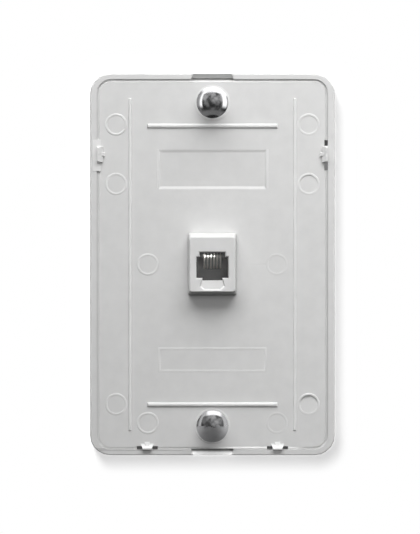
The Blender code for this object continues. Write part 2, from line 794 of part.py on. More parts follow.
def build_face_plate(material):
    """Inset panel that snaps over the base."""
    panel = make_object("face_plate", panel_blank(), material)
    combine(panel, "UNION", "panel_ribs", panel_ribs())
    combine(panel, "UNION", "lower_frame_body", lower_frame_body())
    combine(panel, "UNION", "raised_pin_marks", raised_pin_marks())
    combine(panel, "DIFFERENCE", "panel_recesses", panel_recesses())
    combine(panel, "DIFFERENCE", "panel_openings", panel_openings())


def jack_tower():
    """Housing from its rear end to the drafted tower with its rounded front edge."""
    bm = bmesh.new()
    half_x = JACK_WIDTH / 2
    half_z = JACK_HEIGHT / 2
    levels = [(JACK_REAR, 0.0, 0.0), (PANEL_FRONT, 0.0, 0.0)]
    for angle in (0, 22, 45, 68, 90):
        turn = math.radians(angle)
        level = JACK_FRONT + JACK_EDGE_RADIUS * (1 - math.sin(turn))
        levels.append((level, 1 - math.cos(turn), 1.0))
    rings = []
    for y, turned, draft in levels:
        outline = rounded_rectangle(
            half_x - draft * JACK_SIDE_DRAFT - turned * JACK_EDGE_RADIUS,
            half_z - draft * JACK_END_DRAFT - turned * JACK_EDGE_RADIUS,
            JACK_CORNER_RADIUS,
            steps=3,
        )
        rings.append(ring(outline, y))
    loft(bm, rings)
    return bm


def jack_flange():
    """Flange that seats behind the floor of the base."""
    bm = bmesh.new()
    outline = rounded_rectangle(
        JACK_WIDTH / 2 + JACK_FLANGE_MARGIN, JACK_HEIGHT / 2 + JACK_FLANGE_MARGIN,
        JACK_CORNER_RADIUS, steps=3,
    )
    front = FLOOR_BACK + SEAT_GAP
    prism(bm, outline, front, front + JACK_FLANGE_THICKNESS)
    return bm


def cavity_outline(margin):
    """The modular opening's stepped section, grown by a margin on every side."""
    main = CAVITY_WIDTH / 2 + margin
    key = KEY_WIDTH / 2 + margin
    latch = LATCH_WIDTH / 2 + margin
    low = CAVITY_BOTTOM - margin
    high = CAVITY_TOP + margin
    right = [
        (latch, LATCH_BOTTOM - margin), (latch, low), (main, low),
        (main, high), (key, high), (key, KEY_TOP + margin),
    ]
    return right + [(-x, z) for x, z in reversed(right)]


def jack_cavity():
    """The opening through the housing, with a chamfered mouth."""
    bm = bmesh.new()
    plain = cavity_outline(0.0)
    loft(bm, [
        ring(cavity_outline(MOUTH_CHAMFER), JACK_FRONT - OVERCUT),
        ring(cavity_outline(MOUTH_CHAMFER), JACK_FRONT),
        ring(plain, JACK_FRONT + MOUTH_CHAMFER),
        ring(plain, JACK_REAR + OVERCUT),
    ])
    return bm


def latch_ramp():
    """Ramped recess below the opening, which the plug's latch rides over."""
    bm = bmesh.new()
    top = LATCH_BOTTOM + MOUTH_CHAMFER
    right = [
        (LATCH_WIDTH / 2, top),
        (LATCH_RAMP_WAIST_WIDTH / 2, LATCH_RAMP_WAIST_Z),
        (LATCH_RAMP_END_WIDTH / 2, LATCH_RAMP_END_Z),
    ]
    outline = right + [(-x, z) for x, z in reversed(right)]
    slope = (LATCH_RAMP_TOP_DEPTH - LATCH_RAMP_END_DEPTH) / (top - LATCH_RAMP_END_Z)
    far = []
    for x, z in outline:
        depth = LATCH_RAMP_END_DEPTH + slope * (z - LATCH_RAMP_END_Z)
        far.append(Vector((x, JACK_FRONT + depth, z)))
    loft(bm, [ring(outline, JACK_FRONT - OVERCUT), far])
    return bm


def build_jack_housing(material):
    """Tower with the modular opening, held behind the base by its flange."""
    housing = make_object("jack_housing", jack_tower(), material)
    combine(housing, "UNION", "jack_flange", jack_flange())
    combine(housing, "DIFFERENCE", "jack_cavity", jack_cavity())
    combine(housing, "DIFFERENCE", "latch_ramp", latch_ramp())


def contact_places():
    """Sideways place of each contact wire."""
    return [(i - (CONTACT_COUNT - 1) / 2) * CONTACT_PITCH for i in range(CONTACT_COUNT)]


def lead_places():
    """Side, place on the insert and place of the terminal, one for each lead."""
    places = []
    for side, row in terminal_places():
        places.append((side, (side * LEAD_COLUMN_X, row * LEAD_ROW_PITCH), row * TERMINAL_PITCH))
    return places


def insert_flange():
    """Plate of the insert that covers the rear of the housing."""
    bm = bmesh.new()
    half_x = INSERT_FLANGE_WIDTH / 2
    half_z = INSERT_FLANGE_HEIGHT / 2
    prism(bm, rectangle(-half_x, half_x, -half_z, half_z), JACK_REAR + SEAT_GAP, INSERT_REAR)
    return bm


def insert_shelf():
    """Shelf under the straight runs of the contact wires."""
    bm = bmesh.new()
    outline = rectangle(
        -SHELF_WIDTH / 2, SHELF_WIDTH / 2, SHELF_TOP_Z - SHELF_THICKNESS, SHELF_TOP_Z
    )
    prism(bm, outline, SHELF_FRONT_Y, INSERT_FACE_Y + BITE)
    return bm


def comb_ridges():
    """Ridges that keep the contact wires apart."""
    bm = bmesh.new()
    for i in range(CONTACT_COUNT + 1):
        centre = (i - CONTACT_COUNT / 2) * CONTACT_PITCH
        outline = rectangle(
            centre - RIDGE_THICKNESS / 2, centre + RIDGE_THICKNESS / 2,
            SHELF_TOP_Z - SHELF_THICKNESS / 2, SHELF_TOP_Z + RIDGE_HEIGHT,
        )
        prism(bm, outline, SHELF_FRONT_Y + RIDGE_THICKNESS, INSERT_FACE_Y - RIDGE_THICKNESS)
    return bm


def insert_cuts():
    """Slot for the wires' tails and bores for the leads."""
    bm = bmesh.new()
    half = CONTACT_PITCH * CONTACT_COUNT / 2
    slot = rectangle(-half, half, SHELF_TOP_Z, KEY_TOP)
    prism(bm, slot, INSERT_FACE_Y - OVERCUT, INSERT_FACE_Y + WIRE_SLOT_DEPTH)
    for _, centre, _ in lead_places():
        bore = circle(BARREL_BORE_RADIUS, SMALL_ROUND_STEPS, centre)
        prism(bm, bore, INSERT_REAR - LEAD_BORE_DEPTH, INSERT_REAR + OVERCUT)
    return bm


def build_jack_insert(material):
    """Contact carrier that closes the back of the opening."""
    bm = bmesh.new()
    prism(bm, cavity_outline(-INSERT_CLEARANCE), INSERT_FACE_Y, JACK_REAR + SEAT_GAP + BITE)
    insert = make_object("jack_insert", bm, material)
    combine(insert, "UNION", "insert_flange", insert_flange())
    combine(insert, "UNION", "insert_shelf", insert_shelf())
    combine(insert, "UNION", "comb_ridges", comb_ridges())
    combine(insert, "DIFFERENCE", "insert_cuts", insert_cuts())


def make_tube(name, points, radius, resolution, material):
    """Round wire or lead along a row of points, with closed ends."""
    curve = bpy.data.curves.new(name, "CURVE")
    curve.dimensions = "3D"
    curve.bevel_depth = radius
    curve.bevel_resolution = resolution
    curve.use_fill_caps = True
    spline = curve.splines.new("POLY")
    spline.points.add(len(points) - 1)
    for target, point in zip(spline.points, points):
        target.co = (*point, 1.0)
    spline.use_smooth = True
    curve.materials.append(material)
    tube = bpy.data.objects.new(name, curve)
    bpy.context.scene.collection.objects.link(tube)


def contact_path(x):
    """Straight run over the shelf, a bend round its front and a dipping spring arm."""
    bend_y = SHELF_FRONT_Y
    bend_z = CONTACT_TOP_Z - CONTACT_BEND_RADIUS
    tail_y = INSERT_FACE_Y + WIRE_SLOT_DEPTH - CONTACT_TAIL_GAP
    points = [Vector((x, tail_y, CONTACT_TOP_Z))]
    sweep = math.radians(180 - CONTACT_DIP)
    steps = 8
    for step in range(steps + 1):
        turn = sweep * step / steps
        y = bend_y - CONTACT_BEND_RADIUS * math.sin(turn)
        z = bend_z + CONTACT_BEND_RADIUS * math.cos(turn)
        points.append(Vector((x, y, z)))
    heading = Vector((0.0, -math.cos(sweep), -math.sin(sweep)))
    points.append(points[-1] + heading * CONTACT_SPRING_LENGTH)
    return points


def build_contact_wires(material):
    """Six sprung wires that press on the plug's contacts."""
    for number, x in enumerate(contact_places(), start=1):
        make_tube(f"contact_wire_{number}", contact_path(x), CONTACT_RADIUS, 1, material)


def lead_path(side, start, terminal_z):
    """A lead's route: straight out of the insert, round and into its spade lug."""
    exit_point = Vector((start[0], INSERT_REAR, start[1]))
    mouth_x = side * (TERMINAL_X - LUG_BARREL_START - LUG_BARREL_LENGTH)
    barrel_y = LUG_FRONT_Y + BARREL_RADIUS - LUG_BARREL_SINK
    mouth = Vector((mouth_x, barrel_y, terminal_z))
    backward = Vector((0.0, 1.0, 0.0))
    outward = Vector((side, 0.0, 0.0))
    bend = interpolate_bezier(
        exit_point, exit_point + backward * LEAD_REAR_PULL,
        mouth - outward * LEAD_SIDE_PULL, mouth, 14,
    )
    return [exit_point - backward * LEAD_ENTRY, *bend, mouth + outward * LEAD_ENTRY]


def build_leads():
    """Six insulated leads, one for each contact."""
    for (name, colour), (side, start, height) in zip(LEAD_COLOURS.items(), lead_places()):
        material = make_material(f"lead_{name}", colour, 0.45)
        make_tube(f"lead_{name}", lead_path(side, start, height), LEAD_RADIUS, 2, material)


def stud_profile():
    """Turned outline of a stud, from its rear end to the top of its dome."""
    collar_back = FLOOR_FRONT - SEAT_GAP
    collar_front = collar_back - STUD_COLLAR_THICKNESS
    head_back = PANEL_FRONT - STUD_NECK_LENGTH
    rim = head_back - STUD_HEAD_EDGE
    corner = STUD_HEAD_EDGE / 4
    profile = [
        (0.0, -STUD_END_CLEARANCE),
        (STUD_SHANK_RADIUS * 0.8, -STUD_END_CLEARANCE),
        (STUD_SHANK_RADIUS, -STUD_END_CLEARANCE - STUD_SHANK_RADIUS * 0.2),
        (STUD_SHANK_RADIUS, collar_back),
        (STUD_COLLAR_RADIUS, collar_back),
        (STUD_COLLAR_RADIUS, collar_front),
        (STUD_NECK_RADIUS, collar_front),
        (STUD_NECK_RADIUS, head_back),
        (STUD_HEAD_RADIUS - corner, head_back),
        (STUD_HEAD_RADIUS, head_back - corner),
    ]
    steps = 6
    for step in range(steps):
        angle = math.pi / 2 * step / steps
        profile.append((
            STUD_HEAD_RADIUS * math.cos(angle), rim - STUD_HEAD_DOME * math.sin(angle)
        ))
    profile.append((0.0, rim - STUD_HEAD_DOME))
    return profile


def build_studs(material):
    """The two headed studs that the telephone hangs on."""
    for name, height in stud_places().items():
        stud = make_object(f"stud_{name}", revolve(stud_profile(), ROUND_STEPS), material)
        stud.location.z = height


def nut_blank():
    """Hexagon with its rear corners chamfered."""
    bm = bmesh.new()
    corner = NUT_ACROSS_FLATS / math.sqrt(3)
    front = FLOOR_BACK + SEAT_GAP
    rings = []
    for y, radius in (
        (front, corner), (front + NUT_THICKNESS - NUT_CHAMFER, corner),
        (front + NUT_THICKNESS, corner - NUT_CHAMFER),
    ):
        turned = [(z, x) for x, z in circle(radius, 6)]
        rings.append(ring(turned, y))
    loft(bm, rings)
    return bm


def build_stud_nuts(material):
    """Hexagon nuts that clamp the studs to the floor."""
    for name, height in stud_places().items():
        bore = bmesh.new()
        front = FLOOR_BACK + SEAT_GAP
        prism(
            bore, circle(STUD_SHANK_RADIUS + SEAT_GAP, SMALL_ROUND_STEPS),
            front - OVERCUT, front + NUT_THICKNESS + OVERCUT,
        )
        nut = make_object(f"stud_nut_{name}", nut_blank(), material)
        tool = combine(nut, "DIFFERENCE", f"nut_bore_{name}", bore)
        nut.rotation_euler.y = math.radians(30)
        nut.location.z = height
        tool.parent = nut


def screw_body():
    """Turned shank and pan head, seated at y = 0 with the head behind."""
    crown = SCREW_HEAD_HEIGHT * 0.4
    profile = [
        (0.0, -SCREW_LENGTH),
        (SCREW_SHANK_RADIUS * 0.7, -SCREW_LENGTH),
        (SCREW_SHANK_RADIUS, -SCREW_LENGTH + SCREW_SHANK_RADIUS * 0.3),
        (SCREW_SHANK_RADIUS, 0.0),
        (SCREW_HEAD_RADIUS, 0.0),
        (SCREW_HEAD_RADIUS, SCREW_HEAD_HEIGHT - crown),
        (SCREW_HEAD_RADIUS * 0.75, SCREW_HEAD_HEIGHT),
        (0.0, SCREW_HEAD_HEIGHT),
    ]
    return revolve(profile, SMALL_ROUND_STEPS)


def screw_slot():
    """Driving slot across the head."""
    bm = bmesh.new()
    half = SCREW_HEAD_RADIUS + OVERCUT
    outline = rectangle(-half, half, -SCREW_SLOT_WIDTH / 2, SCREW_SLOT_WIDTH / 2)
    prism(bm, outline, SCREW_HEAD_HEIGHT - SCREW_SLOT_DEPTH, SCREW_HEAD_HEIGHT + OVERCUT)
    return bm


def washer_blank():
    """Square washer with clipped corners, seated at y = 0."""
    bm = bmesh.new()
    half = WASHER_SIZE / 2
    prism(bm, rounded_rectangle(half, half, WASHER_CORNER, steps=1), 0.0, WASHER_THICKNESS)
    return bm


def washer_bore():
    """Hole of the washer."""
    bm = bmesh.new()
    hole = circle(SCREW_SHANK_RADIUS + TERMINAL_GAP, SMALL_ROUND_STEPS)
    prism(bm, hole, -OVERCUT, WASHER_THICKNESS + OVERCUT)
    return bm


def fork_plate():
    """Flat fork and tongue of a spade lug; the fork opens towards +X."""
    bm = bmesh.new()
    half = LUG_FORK_WIDTH / 2
    slot = LUG_FORK_SLOT / 2
    tongue = LUG_TONGUE_WIDTH / 2
    steps = 6
    upper = [(LUG_FORK_TIP, slot), (LUG_FORK_TIP, half), (-LUG_FORK_ROOT + half - tongue, half)]
    upper += [(-LUG_FORK_ROOT, tongue), (-LUG_BARREL_START - BITE, tongue)]
    inner = []
    for step in range(1, steps):
        angle = math.pi / 2 + math.pi * step / steps
        inner.append((slot * math.cos(angle), slot * math.sin(angle)))
    outline = [(0.0, slot), *upper]
    outline += [(x, -z) for x, z in reversed(upper)]
    outline += [(0.0, -slot), *reversed(inner)]
    prism(bm, outline, 0.0, LUG_PLATE_THICKNESS)
    return bm


def side_cylinder(bm, radius, near_x, far_x, centre_y):
    """Round bar along X."""
    angles = [2 * math.pi * step / SMALL_ROUND_STEPS for step in range(SMALL_ROUND_STEPS)]
    section = [(centre_y + radius * math.cos(a), radius * math.sin(a)) for a in angles]
    loft(bm, [[Vector((x, y, z)) for y, z in section] for x in (near_x, far_x)])


def barrel_body():
    """Crimp barrel of a spade lug."""
    bm = bmesh.new()
    far = -LUG_BARREL_START - LUG_BARREL_LENGTH
    side_cylinder(bm, BARREL_RADIUS, -LUG_BARREL_START, far, BARREL_RADIUS - LUG_BARREL_SINK)
    return bm


def barrel_bore():
    """Bore of the crimp barrel."""
    bm = bmesh.new()
    far = -LUG_BARREL_START - LUG_BARREL_LENGTH - OVERCUT
    near = -LUG_BARREL_START + OVERCUT
    side_cylinder(bm, BARREL_BORE_RADIUS, near, far, BARREL_RADIUS - LUG_BARREL_SINK)
    return bm


def build_terminals(screw_material, washer_material, lug_material):
    """Screw, washer and spade lug of each terminal."""
    screw = make_object("terminal_screw_1", screw_body(), screw_material)
    slot = combine(screw, "DIFFERENCE", "screw_slot", screw_slot())
    washer = make_object("terminal_washer_1", washer_blank(), washer_material)
    bore = combine(washer, "DIFFERENCE", "washer_bore", washer_bore())
    spade = make_object("spade_lug_1", fork_plate(), lug_material)
    barrel = combine(spade, "UNION", "barrel_body", barrel_body())
    barrel_hole = combine(spade, "DIFFERENCE", "barrel_bore", barrel_bore())
    meshes = [finished_mesh(piece) for piece in (screw, washer, spade)]
    for item in (screw, washer, spade, slot, bore, barrel, barrel_hole):
        bpy.data.objects.remove(item, do_unlink=True)
    names = ("terminal_screw", "terminal_washer", "spade_lug")
    levels = (SCREW_SEAT_Y, WASHER_FRONT_Y, LUG_FRONT_Y)
    for number, (side, row) in enumerate(terminal_places(), start=1):
        for name, mesh, level in zip(names, meshes, levels):
            piece = bpy.data.objects.new(f"{name}_{number}", mesh)
            bpy.context.scene.collection.objects.link(piece)
            piece.location = (side * TERMINAL_X, level, row * TERMINAL_PITCH)
            if side < 0 and name == "spade_lug":
                piece.rotation_euler.y = math.pi


def build_all():
    """Every piece of the wall socket."""
    clear_scene()
    shell = make_material("moulded_plastic", (0.66, 0.66, 0.65), 0.38)
    tower = make_material("jack_plastic", (0.68, 0.68, 0.67), 0.35)
    carrier = make_material("insert_plastic", (0.24, 0.24, 0.24), 0.45)
    gold = make_material("gilt_wire", (0.83, 0.62, 0.27), 0.22, 1.0)
    polished = make_material("polished_steel", (0.62, 0.62, 0.62), 0.12, 1.0)
    zinc = make_material("zinc_steel", (0.60, 0.61, 0.62), 0.32, 1.0)
    brass = make_material("tinned_brass", (0.70, 0.68, 0.62), 0.30, 1.0)
    build_mounting_base(shell)
    build_face_plate(shell)
    build_jack_housing(tower)
    build_jack_insert(carrier)
    build_contact_wires(gold)
    build_leads()
    build_studs(polished)
    build_stud_nuts(zinc)
    build_terminals(zinc, zinc, brass)


build_all()
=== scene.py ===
import json
import math

import bmesh
import bpy
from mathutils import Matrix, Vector

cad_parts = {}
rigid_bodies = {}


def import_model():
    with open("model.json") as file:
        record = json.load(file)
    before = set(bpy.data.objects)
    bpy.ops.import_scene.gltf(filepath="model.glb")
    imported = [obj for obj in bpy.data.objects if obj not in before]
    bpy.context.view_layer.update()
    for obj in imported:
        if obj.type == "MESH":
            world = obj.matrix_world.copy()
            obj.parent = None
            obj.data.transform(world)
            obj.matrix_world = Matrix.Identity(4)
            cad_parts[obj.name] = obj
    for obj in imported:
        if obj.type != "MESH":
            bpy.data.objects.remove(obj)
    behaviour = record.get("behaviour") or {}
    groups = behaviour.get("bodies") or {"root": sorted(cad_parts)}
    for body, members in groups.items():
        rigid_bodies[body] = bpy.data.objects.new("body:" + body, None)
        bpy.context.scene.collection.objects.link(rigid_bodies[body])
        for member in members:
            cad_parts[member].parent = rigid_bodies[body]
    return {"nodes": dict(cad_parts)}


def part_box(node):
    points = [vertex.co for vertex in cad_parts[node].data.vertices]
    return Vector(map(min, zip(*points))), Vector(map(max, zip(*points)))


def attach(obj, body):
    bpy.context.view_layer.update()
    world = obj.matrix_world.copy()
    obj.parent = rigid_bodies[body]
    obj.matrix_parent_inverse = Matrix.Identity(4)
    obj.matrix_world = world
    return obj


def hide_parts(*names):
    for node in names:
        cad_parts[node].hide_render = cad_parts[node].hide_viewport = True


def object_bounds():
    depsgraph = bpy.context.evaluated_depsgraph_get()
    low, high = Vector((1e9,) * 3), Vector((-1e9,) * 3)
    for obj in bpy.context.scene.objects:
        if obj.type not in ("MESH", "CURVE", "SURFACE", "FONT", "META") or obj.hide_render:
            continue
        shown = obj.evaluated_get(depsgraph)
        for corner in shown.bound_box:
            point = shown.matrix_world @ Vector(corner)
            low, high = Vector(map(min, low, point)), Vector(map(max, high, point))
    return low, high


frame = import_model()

# The wall-phone mounting plate faces -Y, the wall plane is y = 0 and +Z is up. Metres.

# Sizes read from the frame
CAD_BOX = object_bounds()
PANEL_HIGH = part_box("face_plate")[1]
JACK_LOW, JACK_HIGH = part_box("jack_housing")
STUD_LOW, STUD_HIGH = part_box("stud_upper")
WIRE_LOW, WIRE_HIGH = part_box("contact_wire_1")

# Levels of the plate, negative towards the front
PANEL_BACK = PANEL_HIGH.y
PANEL_THICKNESS = 0.0018
PANEL_FRONT = PANEL_BACK - PANEL_THICKNESS

# How far a cut stands past a face, and how deep a raised detail is let into it
OVERCUT = 0.0005
BITE = 0.0003

# Steps of round and curved forms
CORNER_STEPS = 6
PANEL_CORNER_STEPS = 10
PANEL_SIDE_STEPS = 24
EDGE_STEPS = 3
GROOVE_STEPS = 8
RIDGE_STEPS = 6
RIB_TURNS = (0, 18, 36, 52, 66, 78)
MARK_STEPS = 40
BURR_STEPS = 48
STUD_RING_STEPS = 64
STUD_HOLE_STEPS = 48
STUD_STEPS = 72
STUD_CAP_STEPS = 24
WIRE_BEND_STEPS = 14
WIRE_STEPS = 16

# Face plate. Its edge dips into a groove, and rises between four places along its foot.
PANEL_SPREAD = 0.00012
LIP_REACH = 0.00040
GROOVE_WIDTH = 0.0007
GROOVE_FLAT = 0.2
GROOVE_DEPTH = 0.00020
GROOVE_LEAN_X = 0.00010
GROOVE_LEAN_Z = 0.00002
RAISED_EDGE = (-0.006, 0.010, 0.023, 0.0315)
RAISED_EDGE_RISE = 0.00026
PRY_HALF = 0.0066
PANEL_CORNER_RADIUS = 0.0040
SIDE_RIB_X = 0.0259
SIDE_RIB_HALF = 0.0523
SIDE_RIB_WIDTH = 0.0010
SIDE_RIB_RISE = 0.0004
CROSS_RIB_HALF = 0.02055
CROSS_RIB_WIDTH = 0.0014
CROSS_RIB_RISE = 0.00057
CROSS_RIB_ROWS = (0.04355, -0.04412)
LABEL_HALF_X = 0.01695
LABEL_HALF_Z = 0.0061
LABEL_Z = 0.0301
LABEL_DEPTHS = (0.00026, 0.00050)
LABEL_WALLS = (0.00095, 0.0011)
LABEL_SIDE_WALL = 0.0005
LABEL_PARTS = (0.0, 0.03, 0.97)
LABEL_EDGE_WIDTH = 0.0006
LABEL_EDGE_RISE = 0.00007
LABEL_EDGE_SHARE = 0.55
FRAME_HALF_X = 0.01705
FRAME_HALF_Z = 0.00395
FRAME_Z = -0.0300
FRAME_LINE = 0.0009
FRAME_RISE = 0.00006
PIN_MARK_RADIUS = 0.0031
PIN_MARK_STEP = 0.00002
SUNK_MARK_SLOPE = 0.8
PROUD_BURR_RISES = (0.00012, 0.00008, 0.00008, 0.00008, 0.00009)
SUNK_MARK_DEPTHS = ((6e-5, 6e-5), (14e-5, 4e-5), (26e-5, 3e-5), (3e-5, 3e-5), (3e-5, 3e-5))
SUNK_BURR_RISES = (0.00007, 0.00007, 0.00012, 0.00003, 0.00003)
SUNK_BURR_LEANS = (0.2, 0.2, 0.85, 0.2, 0.2)
PIN_BURR_WIDTH = 0.0008
PIN_MARK_OUTER_X = 0.0303
PIN_MARK_INNER_X = 0.0203
PIN_MARK_ROWS = (0.0440, 0.0253, -0.0440)
PIN_MARK_LOW_Z = -0.0499
STUD_HOLE_RADIUS = 0.0043
STUD_HOLE_EDGE = 0.0002
STUD_RING_RADIUS = 0.0057
STUD_RING_WIDTH = 0.0009
STUD_RING_RISE = 0.00008
SIDE_NOTCH_Z = 0.0343
SIDE_NOTCH_HALF = 0.0048
LOWER_NOTCH_X = 0.0205
LOWER_NOTCH_HALF = 0.0033
NOTCH_REACH = 0.00065
NOTCH_EDGE = STUD_HOLE_EDGE * 0.6

# Crowns of the base's lower snap lugs
LUG_CROWN_Z = 0.0550
LUG_CROWN_Y = -0.0082
LUG_CROWN_STRETCH = 1.45

# Jack housing. The tower's front is drafted and its foot is a little above the middle.
JACK_HALF_X = 0.0077
JACK_HALF_Z = 0.00985
JACK_BASE_LIFT = 0.00012
JACK_SIDE_DRAFT = 0.0005
JACK_END_DRAFT = 0.00115
JACK_CORNER_RADIUS = 0.0008
JACK_EDGE_ROUND = 0.0004
JACK_WINDOW_GAP = 0.00004
JACK_FLANGE_FRONT = -0.0032
JACK_FLANGE_THICKNESS = 0.0012
CAVITY_HALF = 0.0050
CAVITY_TOP = 0.00235
CAVITY_BOTTOM = -0.00425
KEY_HALF = 0.0040
KEY_TOP = 0.00375
LATCH_HALF = 0.00315
LATCH_BOTTOM = -0.0050
MOUTH_ROUND = 0.0005
SILL_FLARE = 1.7
RAMP_TOP_DEPTH = 0.0009
RAMP_END_DEPTH = 0.0005
RAMP_WAIST = (0.00365, -0.0066)
RAMP_END = (0.00245, -0.0077)
RAMP_WALL_SLOPE = 0.0006

# Contact wires
WIRE_SOLID_RADIUS = 0.00023
WIRE_RADIUS = 0.00029
WIRE_BEND_RADIUS = 0.00075
WIRE_DIP = 22.0
WIRE_ARM = 0.0081

# Studs
STUD_SHANK_RADIUS = 0.00175
STUD_COLLAR_RADIUS = 0.0040
STUD_COLLAR_BACK = -0.0058
STUD_COLLAR_FRONT = -0.0070
STUD_NECK_RADIUS = 0.0028
STUD_HEAD_BACK = -0.0132
STUD_CAP_ANGLES = {"upper": 45.0, "lower": 40.0}
STUD_HEAD_CORNER = 0.00022
STUD_EDGE = 0.00012
STUD_FILLET = STUD_EDGE * 3
STUD_THREAD_PITCH = 0.0007
STUD_THREAD_DEPTH = 0.3

# Softened edges of the carried-over pieces, and angles above which an edge stays sharp
MOULDED_EDGE = 0.00018
METAL_EDGE = 0.00010
EDGE_SEGMENTS = 2
EDGE_ANGLE = 32.0
FLAT_ANGLE = 0.5
SHARP_ANGLE = 35.0
CARRIED_SHARP_ANGLE = 50.0
SAME_PLACE = 1e-6
SAME_TURNED_PLACE = 1e-7

# Each finish has three noises, for its colour, gloss and relief, with a scale in cells per
# metre and a detail. Its gloss runs over a range about its roughness.
NOISE_RANGE = (0.3, 0.7)
PLASTIC_NOISES = ((240.0, 4.0), (420.0, 4.0), (5200.0, 2.0))
PLASTIC_GLOSS = (-0.05, 0.06)
PLASTIC_RELIEF = 0.00001
PLASTIC_SPECULAR = 0.45
PLASTIC_VARIATION = 0.025
METAL_NOISES = ((1.0, 4.0), (2.3, 3.0), (6.0, 2.0))
METAL_GLOSS = (0.75, 1.35)

# Plastics
PLATE_COLOUR = (0.74, 0.74, 0.735)
JACK_COLOUR = (0.78, 0.78, 0.775)
INSERT_COLOUR = (0.44, 0.44, 0.44)
LEAD_COLOURS = {
    "white": (0.78, 0.77, 0.73), "black": (0.035, 0.035, 0.037), "red": (0.52, 0.04, 0.035),
    "green": (0.04, 0.26, 0.08), "yellow": (0.72, 0.56, 0.05), "blue": (0.04, 0.11, 0.42),
}
PLATE_ROUGHNESS = 0.42
JACK_ROUGHNESS = 0.38
INSERT_ROUGHNESS = 0.45
LEAD_ROUGHNESS = 0.40
LEAD_VARIATION = 0.05

# Painted light: raised lines, ribs and lug crowns are lighter than the flat panel
# Bands of rise over the panel's front, each with its start, end and share of the colour
LINE_LIFT = 1.07
PANEL_BANDS = (
    (0.00002, 0.00005, LINE_LIFT), (0.00014, 0.00020, 1.0 / LINE_LIFT), (0.00024, 0.00036, 1.13),
)
LUG_BANDS = ((0.0008, 0.0014, 1.28),)
LUG_FADE = (-0.045, -0.040)
UPPER_LUG_SHARE = 0.55

# Painted light and shade: where the plastics are darker or lighter, and their share of the colour
# there
PLATE_ACROSS = (0.98, 1.06)
PANEL_ACROSS = (0.985, 1.065)
UNDERSIDE_SHARE = 0.35
UNDERSIDE_FACING = (-0.75, -0.30)
INSERT_FOOT = (-0.0026, -0.0006)
INSERT_FOOT_SHARE = 0.62
GROOVE_SHARE = 0.87
GROOVE_LEVELS = (0.00002, 0.00008)
GROOVE_TOP = (0.0035, 0.0015)
TOP_GROOVE_SHARE = 1.2
TOP_GROOVE_EDGE = 0.0002
RIM_SHARE = 0.78
RIM_LINE = (0.0009, 0.0006)
RIM_LINE_ACROSS = (-0.0110, -0.0068)
SOFT_EDGE = 0.0003
UPPER_RAMP = (0.0581, 0.0585)
UPPER_RAMP_SHARE = 0.92
LOWER_RAMP = (-0.0590, -0.0593)
LOWER_RAMP_SHARE = 1.28

# Metals: dark and light tone, roughness, scale of the first noise, and relief
METALS = {
    "gilt_wire_drawn": ((0.86, 0.845, 0.81), (0.95, 0.935, 0.90), 0.42, 900.0, 5e-6),
    "steel_polished": ((0.60, 0.60, 0.61), (0.72, 0.72, 0.73), 0.13, 260.0, 3e-6),
    "steel_dulled_painted_shade": ((0.56, 0.56, 0.57), (0.68, 0.68, 0.69), 0.13, 260.0, 3e-6),
    "zinc_plating": ((0.50, 0.51, 0.53), (0.66, 0.67, 0.69), 0.30, 700.0, 6e-6),
    "tinned_brass_sheet": ((0.62, 0.60, 0.55), (0.78, 0.76, 0.70), 0.28, 600.0, 5e-6),
}

# Lower stud's head: dull below its middle, with painted shade beside and below its middle
DULL_MIDDLE = 0.0002
DULL_EDGE = (0.0018, 0.0006)
DULL_BLOTCH = 0.0030
DULL_BLOTCH_SCALE = 620.0
DULL_ROUGHNESS = 0.55
DULL_SHADE_SHARE = 0.95
SIDE_SHADE_X = 0.0005
SIDE_SHADE_REACH = (0.0016, 0.0027)
SIDE_SHADE_SHARE = 0.42
FOOT_SHADE = (0.0050, 0.0015)
FOOT_SHADE_SHARE = 0.62

# Photograph: frame, scale and the object's middle in it
IMAGE_WIDTH = 420
IMAGE_HEIGHT = 534
PIXEL = 0.0003146
OBJECT_PIXEL = (212.4, 264.4)
LENS = 400.0
SENSOR = 36.0

# Backdrop in the wall plane, with a rounded patch of painted shade where the plate hides it
BACKDROP_Y = 0.0003
BACKDROP_HALF = 0.30
BACKDROP_COLOUR = (0.9, 0.9, 0.9, 1.0)
BACKDROP_LIFT = 0.45
SHADOW_REACH = 0.0125
HIDDEN_ROUND = 0.0050
HIDDEN_HALF_X = 0.0326
HIDDEN_HALF_Z = 0.0542
# Strength of the painted shade behind the plate, and of a band of painted light across it
HIDDEN_PAINTED_SHADE = 0.075
LOWER_HOLE_PAINTED_LIGHT = 0.20
LOWER_HOLE_Z = 0.0305
LOWER_HOLE_EDGE = (0.0018, 0.0028)

# Room that polished metal reflects: each part's start, end and strength before and after
ROOM_SCREENS = (1.34, 1.52, 0.0, 1.7)
ROOM_SCREEN_FEET = (-0.50, -0.15, 0.0, 1.0)
ROOM_FAR_LEFT = (1.6, 3.4, 1.0, 0.22)
ROOM_FAR_RIGHT = (5.0, 7.0, 1.0, 0.3)
ROOM_CLUTTER = (0.36, 0.66, 0.06, 0.33)
ROOM_CLUTTER_HEIGHTS = (-0.30, 0.35, 0.60, 1.6)
ROOM_LOW = (-0.72, -0.50, 0.20, 0.0)
ROOM_FLOOR = (-0.93, -0.89, 0.10, 1.0)

# Scale and detail of its clutter's noise, reach of its screens overhead, and plain light
ROOM_CLUTTER_NOISE = (2.3, 1.5)
ROOM_TOP_LEVEL = 0.35
AMBIENT = 0.07

